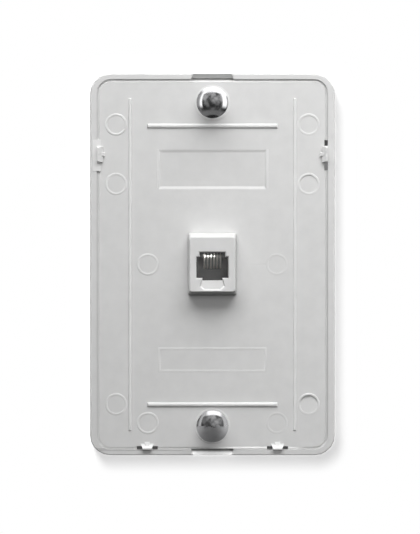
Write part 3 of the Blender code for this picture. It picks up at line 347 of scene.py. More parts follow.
# Lamps, all aimed at the plate's middle: place, size and power. The key light is in two
# parts, because some of it passes the studs.
KEY_PLACE = (0.04, -0.33, 0.48)
KEY_SIZE = (0.72, 0.42)
LAMPS = {
    "key_above": (KEY_PLACE, KEY_SIZE, 3.15),
    "key_past_studs": (KEY_PLACE, KEY_SIZE, 1.35),
    "fill_front": ((0.14, -1.25, 0.28), (0.50, 0.50), 3.0),
    "rear_left": ((-0.40, 0.50, 0.40), (0.35, 0.35), 2.4),
    "rear_right": ((0.45, 0.45, 0.10), (0.35, 0.35), 1.2),
    "backdrop_lamp": ((-0.30, -0.71, 0.67), (0.46, 0.46), 11.8),
    "opening_lamp": ((0.56, -0.36, 0.14), (0.16, 0.16), 21.0),
}


def new_object(name, data):
    """Object in the scene with its mesh, lamp or camera."""
    thing = bpy.data.objects.new(name, data)
    bpy.context.scene.collection.objects.link(thing)
    return thing


def piece_from(name, bm):
    """Object that shows a bmesh, faces pointing out and smooth."""
    bmesh.ops.recalc_face_normals(bm, faces=bm.faces)
    mesh = bpy.data.meshes.new(name)
    bm.to_mesh(mesh)
    bm.free()
    mesh.shade_smooth()
    return new_object(name, mesh)


def settle(thing, angle):
    """Work a piece's modifiers into its mesh and weigh its normals by face area."""
    depsgraph = bpy.context.evaluated_depsgraph_get()
    mesh = bpy.data.meshes.new_from_object(thing.evaluated_get(depsgraph))
    tools = [m.object for m in thing.modifiers if m.type == "BOOLEAN"]
    thing.modifiers.clear()
    thing.data = mesh
    for tool in tools:
        bpy.data.objects.remove(tool, do_unlink=True)
    mesh.shade_smooth()
    mesh.set_sharp_from_angle(angle=math.radians(angle))
    weighted = thing.modifiers.new("face_area_normals", "WEIGHTED_NORMAL")
    weighted.keep_sharp = True


def combine(thing, operation, bm):
    """Join a shape to a piece, or cut it from the piece."""
    tool = piece_from(f"{thing.name}_tool", bm)
    tool.hide_render = True
    modifier = thing.modifiers.new(operation.lower(), "BOOLEAN")
    modifier.solver = "EXACT"
    modifier.operation = operation
    modifier.object = tool


def stand_in(thing, slot, material, *nodes, angle=SHARP_ANGLE):
    """Finish a piece and show it in place of CAD nodes."""
    settle(thing, angle)
    thing.data.materials.clear()
    thing.data.materials.append(material)
    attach(thing, "root")
    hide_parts(*nodes)


def rounded_rectangle(half_x, half_z, radius, steps):
    """Outline in XZ with arcs at its corners."""
    radius = min(radius, half_x, half_z)
    points = []
    for quarter, (side_x, side_z) in enumerate(((1, 1), (-1, 1), (-1, -1), (1, -1))):
        for step in range(steps + 1):
            angle = math.pi / 2 * (quarter + step / steps)
            x = side_x * (half_x - radius) + radius * math.cos(angle)
            z = side_z * (half_z - radius) + radius * math.sin(angle)
            points.append((x, z))
    return points


def circle(radius, steps, centre=(0.0, 0.0)):
    """Round outline in XZ."""
    angles = [2 * math.pi * step / steps for step in range(steps)]
    return [(centre[0] + radius * math.cos(a), centre[1] + radius * math.sin(a)) for a in angles]


def rectangle(half_x, half_z, centre=(0.0, 0.0)):
    """Plain rectangle in XZ about a centre."""
    signs = ((-1, -1), (1, -1), (1, 1), (-1, 1))
    return [(centre[0] + a * half_x, centre[1] + b * half_z) for a, b in signs]


def ring(outline, y):
    """An XZ outline set at one depth."""
    return [Vector((x, y, z)) for x, z in outline]


def band(bm, near, far):
    """Faces between two loops of equal length."""
    for i in range(len(near)):
        j = (i + 1) % len(near)
        bm.faces.new((near[i], near[j], far[j], far[i]))


def loft(bm, rings):
    """Closed skin through rings of equal length, capped at both ends."""
    loops = [[bm.verts.new(point) for point in points] for points in rings]
    for near, far in zip(loops, loops[1:]):
        band(bm, near, far)
    bm.faces.new(loops[0])
    bm.faces.new(loops[-1])


def rounded_over(radius, steps):
    """Depth and inset of each step of a rounded edge, from its side to its face."""
    turns = [math.pi / 2 * step / steps for step in range(steps + 1)]
    return [(radius * (1 - math.sin(t)), radius * (1 - math.cos(t))) for t in turns]


def revolve(profile, steps):
    """Turned solid about the Y axis from (radius, y) points that start and end on it."""
    bm = bmesh.new()
    verts = [bm.verts.new((radius, y, 0.0)) for radius, y in profile]
    edges = [bm.edges.new(pair) for pair in zip(verts, verts[1:])]
    bmesh.ops.spin(
        bm, geom=verts + edges, cent=(0.0, 0.0, 0.0), axis=(0.0, 1.0, 0.0),
        angle=2 * math.pi, steps=steps, use_merge=True,
    )
    bmesh.ops.remove_doubles(bm, verts=bm.verts, dist=SAME_TURNED_PLACE)
    return bm


def arc(centre_r, centre_y, radius, start, end, steps):
    """Points of an arc in a turned profile, angles in degrees from +r towards -y."""
    points = []
    for step in range(steps + 1):
        angle = math.radians(start + (end - start) * step / steps)
        points.append((centre_r + radius * math.cos(angle), centre_y - radius * math.sin(angle)))
    return points


def half_round_rib(bm, centre, half_x, half_z, rise):
    """Raised bar on the panel with a round crest and rounded ends."""
    width = min(half_x, half_z)
    levels = [(PANEL_FRONT + BITE, 0.0)]
    for degrees in RIB_TURNS:
        turn = math.radians(degrees)
        levels.append((PANEL_FRONT - rise * math.sin(turn), width * (1 - math.cos(turn))))
    loft(bm, [ring(rectangle(half_x - inset, half_z - inset, centre), y) for y, inset in levels])


def panel_outline(inset):
    """The panel's outline, drawn in by an inset, with points along its straight sides."""
    corners = rounded_rectangle(
        PANEL_HIGH.x + PANEL_SPREAD - inset, PANEL_HIGH.z + PANEL_SPREAD - inset,
        PANEL_CORNER_RADIUS - inset, PANEL_CORNER_STEPS,
    )
    points = []
    for start, end in zip(corners, corners[1:] + corners[:1]):
        parts = 1 if math.dist(start, end) < PANEL_CORNER_RADIUS else PANEL_SIDE_STEPS
        for part in range(parts):
            share = part / parts
            points.append(tuple(a + (b - a) * share for a, b in zip(start, end)))
    return points


def ease(value, start, end):
    """Smooth run from 0 to 1 while a value goes from start to end."""
    share = min(max((value - start) / (end - start), 0.0), 1.0)
    return share * share * (3 - 2 * share)


def edge_dip(x, z):
    """How deep the panel's edge dips at a place; it rises along the right of its foot."""
    dip = GROOVE_DEPTH + GROOVE_LEAN_X * x / PANEL_HIGH.x + GROOVE_LEAN_Z * z / PANEL_HIGH.z
    start, full, fading, end = RAISED_EDGE
    raised = ease(x, start, full) * (1 - ease(x, fading, end)) if z < 0 else 0.0
    return dip * (1 - raised) - RAISED_EDGE_RISE * raised


def panel_slab():
    """The panel with its dipping front edge and the lip that fills its gap to the rim."""
    bm = bmesh.new()
    rim_side = panel_outline(PANEL_SPREAD - LIP_REACH)
    rings = [ring(rim_side, PANEL_BACK)]
    levels = [(rim_side, 1.0)]
    for step in range(GROOVE_STEPS + 1):
        share = step / GROOVE_STEPS
        levels.append((panel_outline(GROOVE_WIDTH * share), 1 - ease(share, GROOVE_FLAT, 1.0)))
    for outline, dipped in levels:
        rings.append([Vector((x, PANEL_FRONT + dipped * edge_dip(x, z), z)) for x, z in outline])
    loft(bm, rings)
    return bm


def lip_breaks():
    """Where the lip stops, under the pry ramps of the rim."""
    bm = bmesh.new()
    reach = PANEL_HIGH.z + PANEL_SPREAD
    for side in (-1, 1):
        outline = rectangle(PRY_HALF, LIP_REACH, (0.0, side * (reach + LIP_REACH)))
        loft(bm, [ring(outline, PANEL_FRONT - OVERCUT), ring(outline, PANEL_BACK + OVERCUT)])
    return bm


def panel_ribs():
    """The two cross ribs, the two long side ribs and the low edges beside the upper field."""
    bm = bmesh.new()
    for height in CROSS_RIB_ROWS:
        half_round_rib(bm, (0.0, height), CROSS_RIB_HALF, CROSS_RIB_WIDTH / 2, CROSS_RIB_RISE)
    for side in (-1, 1):
        centre = (side * SIDE_RIB_X, 0.0)
        half_round_rib(bm, centre, SIDE_RIB_WIDTH / 2, SIDE_RIB_HALF, SIDE_RIB_RISE)
        centre = (side * (LABEL_HALF_X + LABEL_EDGE_SHARE * LABEL_EDGE_WIDTH), LABEL_Z)
        half_round_rib(bm, centre, LABEL_EDGE_WIDTH / 2, LABEL_HALF_Z, LABEL_EDGE_RISE)
    return bm


def closed_ridge(bm, outline_at, width, rise, lean=0.0):
    """Low rounded ridge round an outline, which is drawn in by an inset.

    With a lean, the ridge is higher at the top of the outline and lower at its foot.
    """
    heights = [z for _, z in outline_at(0.0)]
    middle, reach = (max(heights) + min(heights)) / 2, (max(heights) - min(heights)) / 2
    section = [(0.0, BITE)]
    for step in range(RIDGE_STEPS + 1):
        turn = math.pi * step / RIDGE_STEPS
        section.append((width / 2 * (1 - math.cos(turn)), -rise * math.sin(turn)))
    section.append((width, BITE))
    loops = []
    for inset, level in section:
        loop = []
        for x, z in outline_at(inset):
            share = 1 + lean * (z - middle) / reach if level < 0 else 1.0
            loop.append(bm.verts.new((x, PANEL_FRONT + level * share, z)))
        loops.append(loop)
    for near, far in zip(loops, loops[1:] + loops[:1]):
        band(bm, near, far)


def field_outline():
    """Raised line round the lower field."""
    bm = bmesh.new()
    closed_ridge(
        bm, lambda inset: rectangle(FRAME_HALF_X - inset, FRAME_HALF_Z - inset, (0.0, FRAME_Z)),
        FRAME_LINE, FRAME_RISE,
    )
    return bm


def pin_burrs():
    """Soft burrs round the ejector pin marks and a low ring round each stud."""
    bm = bmesh.new()
    for height in (stud_height(), -stud_height()):
        closed_ridge(
            bm, lambda inset: circle(STUD_RING_RADIUS - inset, STUD_RING_STEPS, (0.0, height)),
            STUD_RING_WIDTH, STUD_RING_RISE,
        )
    proud, sunk = pin_mark_places()
    burrs = [(place, rise, 0.0) for place, rise in zip(proud, PROUD_BURR_RISES)]
    burrs += list(zip(sunk, SUNK_BURR_RISES, SUNK_BURR_LEANS))
    reach = PIN_MARK_RADIUS + PIN_BURR_WIDTH / 2
    for place, rise, lean in burrs:
        closed_ridge(
            bm, lambda inset: circle(reach - inset, BURR_STEPS, place), PIN_BURR_WIDTH, rise, lean,
        )
    return bm


def pin_mark_places():
    """Places of the ejector pin marks: those that stand proud and those that are sunk."""
    rows = [(PIN_MARK_OUTER_X, z) for z in PIN_MARK_ROWS]
    rows += [(PIN_MARK_INNER_X, 0.0), (PIN_MARK_INNER_X, PIN_MARK_LOW_Z)]
    return [(-x, z) for x, z in rows], rows


def proud_pin_marks():
    """Low discs with a rounded rim."""
    bm = bmesh.new()
    for place in pin_mark_places()[0]:
        rings = [ring(circle(PIN_MARK_RADIUS, MARK_STEPS, place), PANEL_FRONT + BITE)]
        for depth, inset in rounded_over(PIN_MARK_STEP, EDGE_STEPS):
            level = PANEL_FRONT - PIN_MARK_STEP + depth
            rings.append(ring(circle(PIN_MARK_RADIUS - inset, MARK_STEPS, place), level))
        loft(bm, rings)
    return bm


def sunk_ring(outline, front, share, depth_at):
    """Outline set at a share of its depths, or in front of the face if there is no share."""
    points = []
    for x, z in outline:
        level = -OVERCUT if share is None else share * depth_at(z)
        points.append(Vector((x, front + level, z)))
    return points


def sunk_mark(bm, centre, depths):
    """Round recess with sloping walls and a floor that runs from one depth to another."""
    high, low = depths
    wall = max(depths) * SUNK_MARK_SLOPE

    def depth_at(z):
        up = (z - centre[1] + PIN_MARK_RADIUS) / (2 * PIN_MARK_RADIUS)
        return low + (high - low) * up

    rings = []
    for share, deep in ((1.0, None), (1.0, 0.0), (0.4, 0.65), (0.0, 1.0)):
        outline = circle(PIN_MARK_RADIUS - (1 - share) * wall, MARK_STEPS, centre)
        rings.append(sunk_ring(outline, PANEL_FRONT, deep, depth_at))
    loft(bm, rings)


def label_recess(bm):
    """The upper field, sunk deeper towards its lower line, with sloping walls."""
    top = LABEL_Z + LABEL_HALF_Z
    foot = LABEL_Z - LABEL_HALF_Z
    fall = (LABEL_DEPTHS[1] - LABEL_DEPTHS[0]) / (top - foot)
    rings = []
    for share, deep in ((0.0, None), (0.0, 0.0), (0.5, 0.6), (1.0, 1.0), (1.15, 1.0)):
        side = LABEL_HALF_X - share * LABEL_SIDE_WALL
        high = top - share * LABEL_WALLS[0]
        low = foot + (share - 0.5) * LABEL_WALLS[1]
        corners = [(-side, low), (side, low), (side, high), (-side, high)]
        outline = [
            tuple(a + (b - a) * part for a, b in zip(start, end))
            for start, end in zip(corners, corners[1:] + corners[:1]) for part in LABEL_PARTS
        ]
        rings.append(sunk_ring(
            outline, PANEL_FRONT, deep, lambda z: LABEL_DEPTHS[0] + fall * (top - z),
        ))
    loft(bm, rings)


def panel_recesses():
    """The upper field and the sunk pin marks."""
    bm = bmesh.new()
    label_recess(bm)
    for place, depths in zip(pin_mark_places()[1], SUNK_MARK_DEPTHS):
        sunk_mark(bm, place, depths)
    return bm


def flared_hole(bm, outline_at, radius, front, back):
    """Through hole with a rounded rim at the front."""
    rings = [ring(outline_at(radius), front - OVERCUT)]
    for depth, inset in rounded_over(radius, EDGE_STEPS)[::-1]:
        rings.append(ring(outline_at(inset), front + depth))
    rings.append(ring(outline_at(0.0), back + OVERCUT))
    loft(bm, rings)


def panel_openings():
    """Jack window, stud holes and the four notches for the snap lugs."""
    bm = bmesh.new()
    flared_hole(bm, jack_window, JACK_WINDOW_GAP, PANEL_FRONT, PANEL_BACK)
    for height in (stud_height(), -stud_height()):
        flared_hole(
            bm, lambda grow: circle(STUD_HOLE_RADIUS + grow, STUD_HOLE_STEPS, (0.0, height)),
            STUD_HOLE_EDGE, PANEL_FRONT, PANEL_BACK,
        )
    for centre, half_x, half_z in notch_places():
        flared_hole(
            bm, lambda grow: rectangle(half_x + grow, half_z + grow, centre),
            NOTCH_EDGE, PANEL_FRONT, PANEL_BACK,
        )
    return bm


def jack_window(grow):
    """Outline of the panel's window round the jack tower's foot, grown on every side."""
    outline = rounded_rectangle(
        JACK_HALF_X + JACK_WINDOW_GAP + grow, JACK_HALF_Z + JACK_WINDOW_GAP + grow,
        JACK_CORNER_RADIUS + JACK_WINDOW_GAP + grow, CORNER_STEPS,
    )
    return [(x, z + JACK_BASE_LIFT) for x, z in outline]


def stud_height():
    """Height of the upper stud; the lower one lies as far below the middle."""
    return (STUD_LOW.z + STUD_HIGH.z) / 2


def notch_places():
    """Centre and half sizes of the panel's notches, which start outside its edge."""
    half = NOTCH_REACH + OVERCUT
    places = []
    for side in (-1, 1):
        x = side * (PANEL_HIGH.x - NOTCH_REACH + half)
        places.append(((x, SIDE_NOTCH_Z), half, SIDE_NOTCH_HALF))
        z = -(PANEL_HIGH.z - NOTCH_REACH + half)
        places.append(((side * LOWER_NOTCH_X, z), LOWER_NOTCH_HALF, half))
    return places


def build_panel(material):
    """Face plate with its ribs, fields, pin marks and openings."""
    panel = piece_from("panel_moulding", panel_slab())
    combine(panel, "DIFFERENCE", lip_breaks())
    combine(panel, "UNION", panel_ribs())
    combine(panel, "UNION", field_outline())
    combine(panel, "UNION", proud_pin_marks())
    combine(panel, "DIFFERENCE", panel_recesses())
    combine(panel, "UNION", pin_burrs())
    combine(panel, "DIFFERENCE", panel_openings())
    stand_in(panel, "plate_plastic", material, "face_plate")


def tower_skin():
    """Jack tower from its rear end to its drafted front with a rounded edge."""
    bm = bmesh.new()
    levels = [(JACK_HIGH.y, 0.0, 0.0), (PANEL_FRONT, 0.0, 0.0)]
    for depth, inset in rounded_over(JACK_EDGE_ROUND, CORNER_STEPS):
        levels.append((JACK_LOW.y + depth, inset, 1.0))
    rings = []
    for y, turned, draft in levels:
        outline = rounded_rectangle(
            JACK_HALF_X - draft * JACK_SIDE_DRAFT - turned,
            JACK_HALF_Z - draft * JACK_END_DRAFT - turned,
            JACK_CORNER_RADIUS, CORNER_STEPS,
        )
        rings.append(ring([(x, z + (1 - draft) * JACK_BASE_LIFT) for x, z in outline], y))
    loft(bm, rings)
    return bm


def tower_flange():
    """Flange of the housing behind the base's floor."""
    bm = bmesh.new()
    outline = rounded_rectangle(JACK_HIGH.x, JACK_HIGH.z, JACK_CORNER_RADIUS, CORNER_STEPS)
    back = JACK_FLANGE_FRONT + JACK_FLANGE_THICKNESS
    loft(bm, [ring(outline, JACK_FLANGE_FRONT), ring(outline, back)])
    return bm


def cavity_outline(grow):
    """Stepped section of the modular opening, grown on every side."""
    right = [
        (LATCH_HALF + grow, LATCH_BOTTOM - grow),
        (LATCH_HALF + grow, CAVITY_BOTTOM - SILL_FLARE * grow),
        (CAVITY_HALF + grow, CAVITY_BOTTOM - SILL_FLARE * grow),
        (CAVITY_HALF + grow, CAVITY_TOP + grow),
        (KEY_HALF + grow, CAVITY_TOP + grow), (KEY_HALF + grow, KEY_TOP + grow),
    ]
    return right + [(-x, z) for x, z in reversed(right)]


def tower_cavity():
    """The opening with its rounded mouth."""
    bm = bmesh.new()
    flared_hole(bm, cavity_outline, MOUTH_ROUND, JACK_LOW.y, JACK_HIGH.y)
    return bm


def latch_recess():
    """Ramped recess that the plug's latch rides over."""
    bm = bmesh.new()
    top = LATCH_BOTTOM + MOUTH_ROUND
    right = [(LATCH_HALF, top), RAMP_WAIST, RAMP_END]
    slope = (RAMP_TOP_DEPTH - RAMP_END_DEPTH) / (top - RAMP_END[1])
    rings = []
    for part, share in ((1.0, None), (1.0, 0.0), (0.4, 0.5), (0.0, 1.0)):
        grow = part * RAMP_WALL_SLOPE
        outline = [(x + grow / 2, z - grow * (z < top)) for x, z in right]
        outline += [(-x, z) for x, z in reversed(outline)]
        rings.append(sunk_ring(
            outline, JACK_LOW.y, share, lambda z: RAMP_END_DEPTH + slope * (z - RAMP_END[1]),
        ))
    loft(bm, rings)
    return bm


def build_tower(material):
    """Jack housing with its modular opening."""
    tower = piece_from("jack_moulding", tower_skin())
    combine(tower, "UNION", tower_flange())
    combine(tower, "DIFFERENCE", tower_cavity())
    combine(tower, "DIFFERENCE", latch_recess())
    stand_in(tower, "jack_plastic", material, "jack_housing")


def stud_profile(cap_angle):
    """Turned outline of a stud with its thread, collar, neck and domed head."""
    back = STUD_HIGH.y
    head_radius = STUD_HIGH.x
    root = STUD_SHANK_RADIUS - STUD_THREAD_PITCH * STUD_THREAD_DEPTH
    profile = [(0.0, back), (root, back), (root, back - STUD_THREAD_PITCH * 0.2)]
    turn = back - STUD_THREAD_PITCH * 0.2
    while turn - STUD_THREAD_PITCH > STUD_COLLAR_BACK + STUD_THREAD_PITCH:
        profile.append((STUD_SHANK_RADIUS, turn - STUD_THREAD_PITCH * 0.5))
        profile.append((root, turn - STUD_THREAD_PITCH))
        turn -= STUD_THREAD_PITCH
    profile.append((STUD_SHANK_RADIUS, turn - STUD_THREAD_PITCH * 0.4))
    profile.append((STUD_SHANK_RADIUS, STUD_COLLAR_BACK))
    collar = STUD_COLLAR_RADIUS - STUD_EDGE
    profile.append((collar, STUD_COLLAR_BACK))
    profile += arc(collar, STUD_COLLAR_BACK - STUD_EDGE, STUD_EDGE, -90, 0, 3)[1:]
    profile += arc(collar, STUD_COLLAR_FRONT + STUD_EDGE, STUD_EDGE, 0, 90, 3)
    neck = STUD_NECK_RADIUS + STUD_FILLET
    profile += arc(neck, STUD_COLLAR_FRONT - STUD_FILLET, STUD_FILLET, 270, 180, 5)
    profile += arc(neck, STUD_HEAD_BACK + STUD_FILLET, STUD_FILLET, 180, 90, 5)
    corner = STUD_HEAD_CORNER
    profile += arc(head_radius - corner, STUD_HEAD_BACK - corner, corner, -90, 0, 4)
    sphere = head_radius / math.sin(math.radians(cap_angle))
    for step in range(STUD_CAP_STEPS):
        angle = math.radians(cap_angle) * (1 - step / STUD_CAP_STEPS)
        profile.append((sphere * math.sin(angle), STUD_LOW.y + sphere * (1 - math.cos(angle))))
    profile.append((0.0, STUD_LOW.y))
    return profile


def build_studs(materials):
    """Both headed studs."""
    for name, height in (("upper", stud_height()), ("lower", -stud_height())):
        bm = revolve(stud_profile(STUD_CAP_ANGLES[name]), STUD_STEPS)
        bmesh.ops.translate(bm, verts=bm.verts, vec=(0.0, 0.0, height))
        stud = piece_from(f"{name}_stud_turned", bm)
        stand_in(stud, "polished_steel", materials[f"{name}_stud"], f"stud_{name}")


def widen_lower_lugs(bm):
    """Draw out the crowns of the two lower snap lugs to their full width."""
    for vert in bm.verts:
        side = math.copysign(1.0, vert.co.x)
        beside = abs(vert.co.x) - LOWER_NOTCH_X
        on_crown = vert.co.z < -LUG_CROWN_Z and vert.co.y < LUG_CROWN_Y
        if on_crown and abs(beside) < LOWER_NOTCH_HALF:
            vert.co.x = side * (LOWER_NOTCH_X + beside * LUG_CROWN_STRETCH)


def softened(node, slot, material, width):
    """Copy of a CAD piece with its sharp edges rounded over."""
    bm = bmesh.new()
    bm.from_mesh(frame["nodes"][node].data)
    if node == "mounting_base":
        widen_lower_lugs(bm)
    bmesh.ops.remove_doubles(bm, verts=bm.verts, dist=SAME_PLACE)
    bmesh.ops.dissolve_limit(
        bm, angle_limit=math.radians(FLAT_ANGLE), verts=bm.verts, edges=bm.edges,
    )
    copy = piece_from(f"{node}_finished", bm)
    bevel = copy.modifiers.new("edge", "BEVEL")
    bevel.width = width
    bevel.segments = EDGE_SEGMENTS
    bevel.limit_method = "ANGLE"
    bevel.angle_limit = math.radians(EDGE_ANGLE)
    bevel.use_clamp_overlap = True
    stand_in(copy, slot, material, node, angle=CARRIED_SHARP_ANGLE)


def wire_path(x):
    """Points along a contact wire and its heading at each: tail, bend and sprung arm."""
    top = WIRE_HIGH.z - WIRE_SOLID_RADIUS
    bend_y = WIRE_LOW.y + WIRE_SOLID_RADIUS + WIRE_BEND_RADIUS
    path = [(Vector((x, WIRE_HIGH.y, top)), Vector((0.0, -1.0, 0.0)))]
    for step in range(WIRE_BEND_STEPS + 1):
        turn = math.radians(180 - WIRE_DIP) * step / WIRE_BEND_STEPS
        across, along = math.sin(turn), math.cos(turn)
        y = bend_y - WIRE_BEND_RADIUS * across
        z = top - WIRE_BEND_RADIUS * (1 - along)
        path.append((Vector((x, y, z)), Vector((0.0, -along, -across))))
    point, heading = path[-1]
    path.append((point + heading * WIRE_ARM, heading))
    return path


def build_wires(material):
    """Six round contact wires that bend over the comb and dip into the opening."""
    side = Vector((1.0, 0.0, 0.0))
    for number in range(1, 7):
        node = f"contact_wire_{number}"
        low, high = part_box(node)
        rings = []
        for point, heading in wire_path((low.x + high.x) / 2):
            up = side.cross(heading)
            rings.append([
                point + WIRE_RADIUS * (a * side + b * up) for a, b in circle(1.0, WIRE_STEPS)
            ])
        bm = bmesh.new()
        loft(bm, rings)
        stand_in(piece_from(f"{node}_drawn", bm), "gilt_wire", material, node)


def node_in(tree, kind, **values):
    """Shader node with some of its inputs set."""
    node = tree.nodes.new(kind)
    for key, value in values.items():
        node.inputs[key.replace("_", " ")].default_value = value
    return node


def noise_from(tree, coordinate, scale, detail):
    """Noise value over the surface."""
    noise = node_in(tree, "ShaderNodeTexNoise", Scale=scale, Detail=detail, Roughness=0.55)
    tree.links.new(coordinate, noise.inputs["Vector"])
    return noise.outputs["Fac"]


def step_of(tree, operation, first, second):
    """One step of arithmetic on two values, each a socket or a number."""
    node = tree.nodes.new("ShaderNodeMath")
    node.operation = operation
    for socket, value in zip(node.inputs, (first, second)):
        if isinstance(value, (int, float)):
            socket.default_value = value
        else:
            tree.links.new(value, socket)
    return node.outputs["Value"]


def between(tree, value, start, end, low, high, interpolation="SMOOTHSTEP"):
    """Value that runs from low to high while another goes from start to end."""
    node = node_in(
        tree, "ShaderNodeMapRange", From_Min=start, From_Max=end, To_Min=low, To_Max=high,
    )
    node.interpolation_type = interpolation
    tree.links.new(value, node.inputs["Value"])
    return node.outputs["Result"]


def product(tree, *values):
    """Product of several values."""
    total = values[0]
    for value in values[1:]:
        total = step_of(tree, "MULTIPLY", total, value)
    return total


def apart(tree, value, middle=0.0):
    """How far a value lies from a middle."""
    return step_of(tree, "ABSOLUTE", step_of(tree, "SUBTRACT", value, middle), 0.0)


def axes_of(tree, vector):
    """The three values of a vector."""
    split = tree.nodes.new("ShaderNodeSeparateXYZ")
    tree.links.new(vector, split.inputs["Vector"])
    return [split.outputs[axis] for axis in "XYZ"]


def place_on(tree):
    """X, Y and Z of the place on the object."""
    return axes_of(tree, tree.nodes.new("ShaderNodeTexCoord").outputs["Object"])


def mixed(tree, factor, first, second):
    """Mix of two shaders."""
    mix = tree.nodes.new("ShaderNodeMixShader")
    for socket, source in zip(mix.inputs, (factor, first, second)):
        tree.links.new(source, socket)
    return mix.outputs[0]


def uneven(name, tones, gloss, noises, relief, strength):
    """Material whose colour, gloss and fine relief each follow a noise."""
    material = bpy.data.materials.new(name)
    material.use_nodes = True
    tree = material.node_tree
    shader = tree.nodes["Principled BSDF"]
    place = tree.nodes.new("ShaderNodeTexCoord").outputs["Object"]
    tone, polish, grain = (noise_from(tree, place, *values) for values in noises)
    ramp = tree.nodes.new("ShaderNodeValToRGB")
    for element, position, colour in zip(ramp.color_ramp.elements, NOISE_RANGE, tones):
        element.position = position
        element.color = (*colour, 1.0)
    tree.links.new(tone, ramp.inputs["Fac"])
    tree.links.new(ramp.outputs["Color"], shader.inputs["Base Color"])
    roughness = between(tree, polish, *NOISE_RANGE, *gloss, "LINEAR")
    tree.links.new(roughness, shader.inputs["Roughness"])
    bump = node_in(tree, "ShaderNodeBump", Distance=relief, Strength=strength)
    tree.links.new(grain, bump.inputs["Height"])
    tree.links.new(bump.outputs["Normal"], shader.inputs["Normal"])
    return material, shader


def moulded_plastic(name, colour, roughness, variation=PLASTIC_VARIATION):
    """Moulded plastic: faint flow mottling and a fine spark-eroded grain."""
    tones = [[c * share for c in colour] for share in (1 - variation, 1 + variation)]
    gloss = [roughness + change for change in PLASTIC_GLOSS]
    material, shader = uneven(name, tones, gloss, PLASTIC_NOISES, PLASTIC_RELIEF, 0.35)
    shader.inputs["Specular IOR Level"].default_value = PLASTIC_SPECULAR
    return material


def plastic_with_painted_crest_light(name, bands, upper=1.0):
    """The plate's plastic with painted light on its raised parts, changed over each band of its
    rise.

    Above the heights in LUG_FADE, a rise counts for its upper share.
    """
    material = moulded_plastic(name, PLATE_COLOUR, PLATE_ROUGHNESS)
    tree = material.node_tree
    _, y, z = place_on(tree)
    rise = step_of(tree, "SUBTRACT", PANEL_FRONT, y)
    rise = product(tree, rise, between(tree, z, *LUG_FADE, 1.0, upper))
    steps = [between(tree, rise, start, end, 1.0, share) for start, end, share in bands]
    scaled_colour(tree, product(tree, *steps))
    return material


def scaled_colour(tree, factor):
    """Multiply the colour of a tree's shader by a value."""
    shader = tree.nodes["Principled BSDF"]
    tone = shader.inputs["Base Color"].links[0].from_socket
    changed = tree.nodes.new("ShaderNodeHueSaturation")
    tree.links.new(tone, changed.inputs["Color"])
    tree.links.new(factor, changed.inputs["Value"])
    tree.links.new(changed.outputs["Color"], shader.inputs["Base Color"])


def share_where(tree, there, share):
    """Multiply the colour by a share where a value is 1, and by 1 where it is 0."""
    change = step_of(tree, "MULTIPLY", there, share - 1.0)
    scaled_colour(tree, step_of(tree, "ADD", change, 1.0))


def shaded_underside(material):
    """Paint shade onto the faces of a piece that look down."""
    tree = material.node_tree
    facing = axes_of(tree, tree.nodes.new("ShaderNodeNewGeometry").outputs["Normal"])[2]
    scaled_colour(tree, between(tree, facing, *UNDERSIDE_FACING, UNDERSIDE_SHARE, 1.0))
    return material


def painted_light_across(material, left, right):
    """Paint light onto the plastic that grows a little from the left to the right of the plate."""
    tree = material.node_tree
    x = place_on(tree)[0]
    scaled_colour(tree, between(tree, x, CAD_BOX[0].x, CAD_BOX[1].x, left, right))
    return material


def shaded_foot(material):
    """Darken the insert towards its foot, where less light reaches it."""
    tree = material.node_tree
    scaled_colour(tree, between(tree, place_on(tree)[2], *INSERT_FOOT, INSERT_FOOT_SHARE, 1.0))
    return material


def painted_groove_shade_and_light(material):
    """Paint shade into the groove at the panel's sides and foot, and paint light into it at the
    top.
    """
    tree = material.node_tree
    x, y, z = place_on(tree)
    aside = apart(tree, x)
    start, end = GROOVE_LEVELS
    deep = between(tree, y, PANEL_FRONT + start, PANEL_FRONT + end, 0.0, 1.0)
    past_side = step_of(tree, "SUBTRACT", aside, PANEL_HIGH.x - GROOVE_WIDTH)
    past_foot = step_of(tree, "SUBTRACT", GROOVE_WIDTH - PANEL_HIGH.z, z)
    past = step_of(tree, "GREATER_THAN", step_of(tree, "MAXIMUM", past_side, past_foot), 0.0)
    start, end = GROOVE_TOP
    low = between(tree, z, PANEL_HIGH.z - start, PANEL_HIGH.z - end, 1.0, 0.0)
    share_where(tree, product(tree, past, deep, low), GROOVE_SHARE)
    height = PANEL_HIGH.z - GROOVE_WIDTH
    high = between(tree, z, height, height + TOP_GROOVE_EDGE, 0.0, 1.0)
    beside = step_of(tree, "GREATER_THAN", aside, PRY_HALF)
    share_where(tree, product(tree, deep, high, beside), TOP_GROOVE_SHARE)
    return material


def painted_rim_shade(material):
    """Paint shade onto the left of the rim's lower inner edge."""
    tree = material.node_tree
    x, _, z = place_on(tree)
    foot = -PANEL_HIGH.z - PANEL_SPREAD
    start, end = RIM_LINE
    above = between(tree, z, foot - start, foot - end, 0.0, 1.0)
    below = between(tree, z, foot, foot + SOFT_EDGE, 1.0, 0.0)
    left = between(tree, x, *RIM_LINE_ACROSS, 1.0, 0.0)
    share_where(tree, product(tree, above, below, left), RIM_SHARE)
    return material


def painted_ramp_light_and_shade(material):
    """Paint shade onto the base's upper pry ramp and light onto its lower one."""
    tree = material.node_tree
    x, _, z = place_on(tree)
    middle = between(tree, apart(tree, x), PRY_HALF, PRY_HALF + SOFT_EDGE, 1.0, 0.0)
    for ramp, share in ((UPPER_RAMP, UPPER_RAMP_SHARE), (LOWER_RAMP, LOWER_RAMP_SHARE)):
        share_where(tree, product(tree, middle, between(tree, z, *ramp, 0.0, 1.0)), share)
    return material


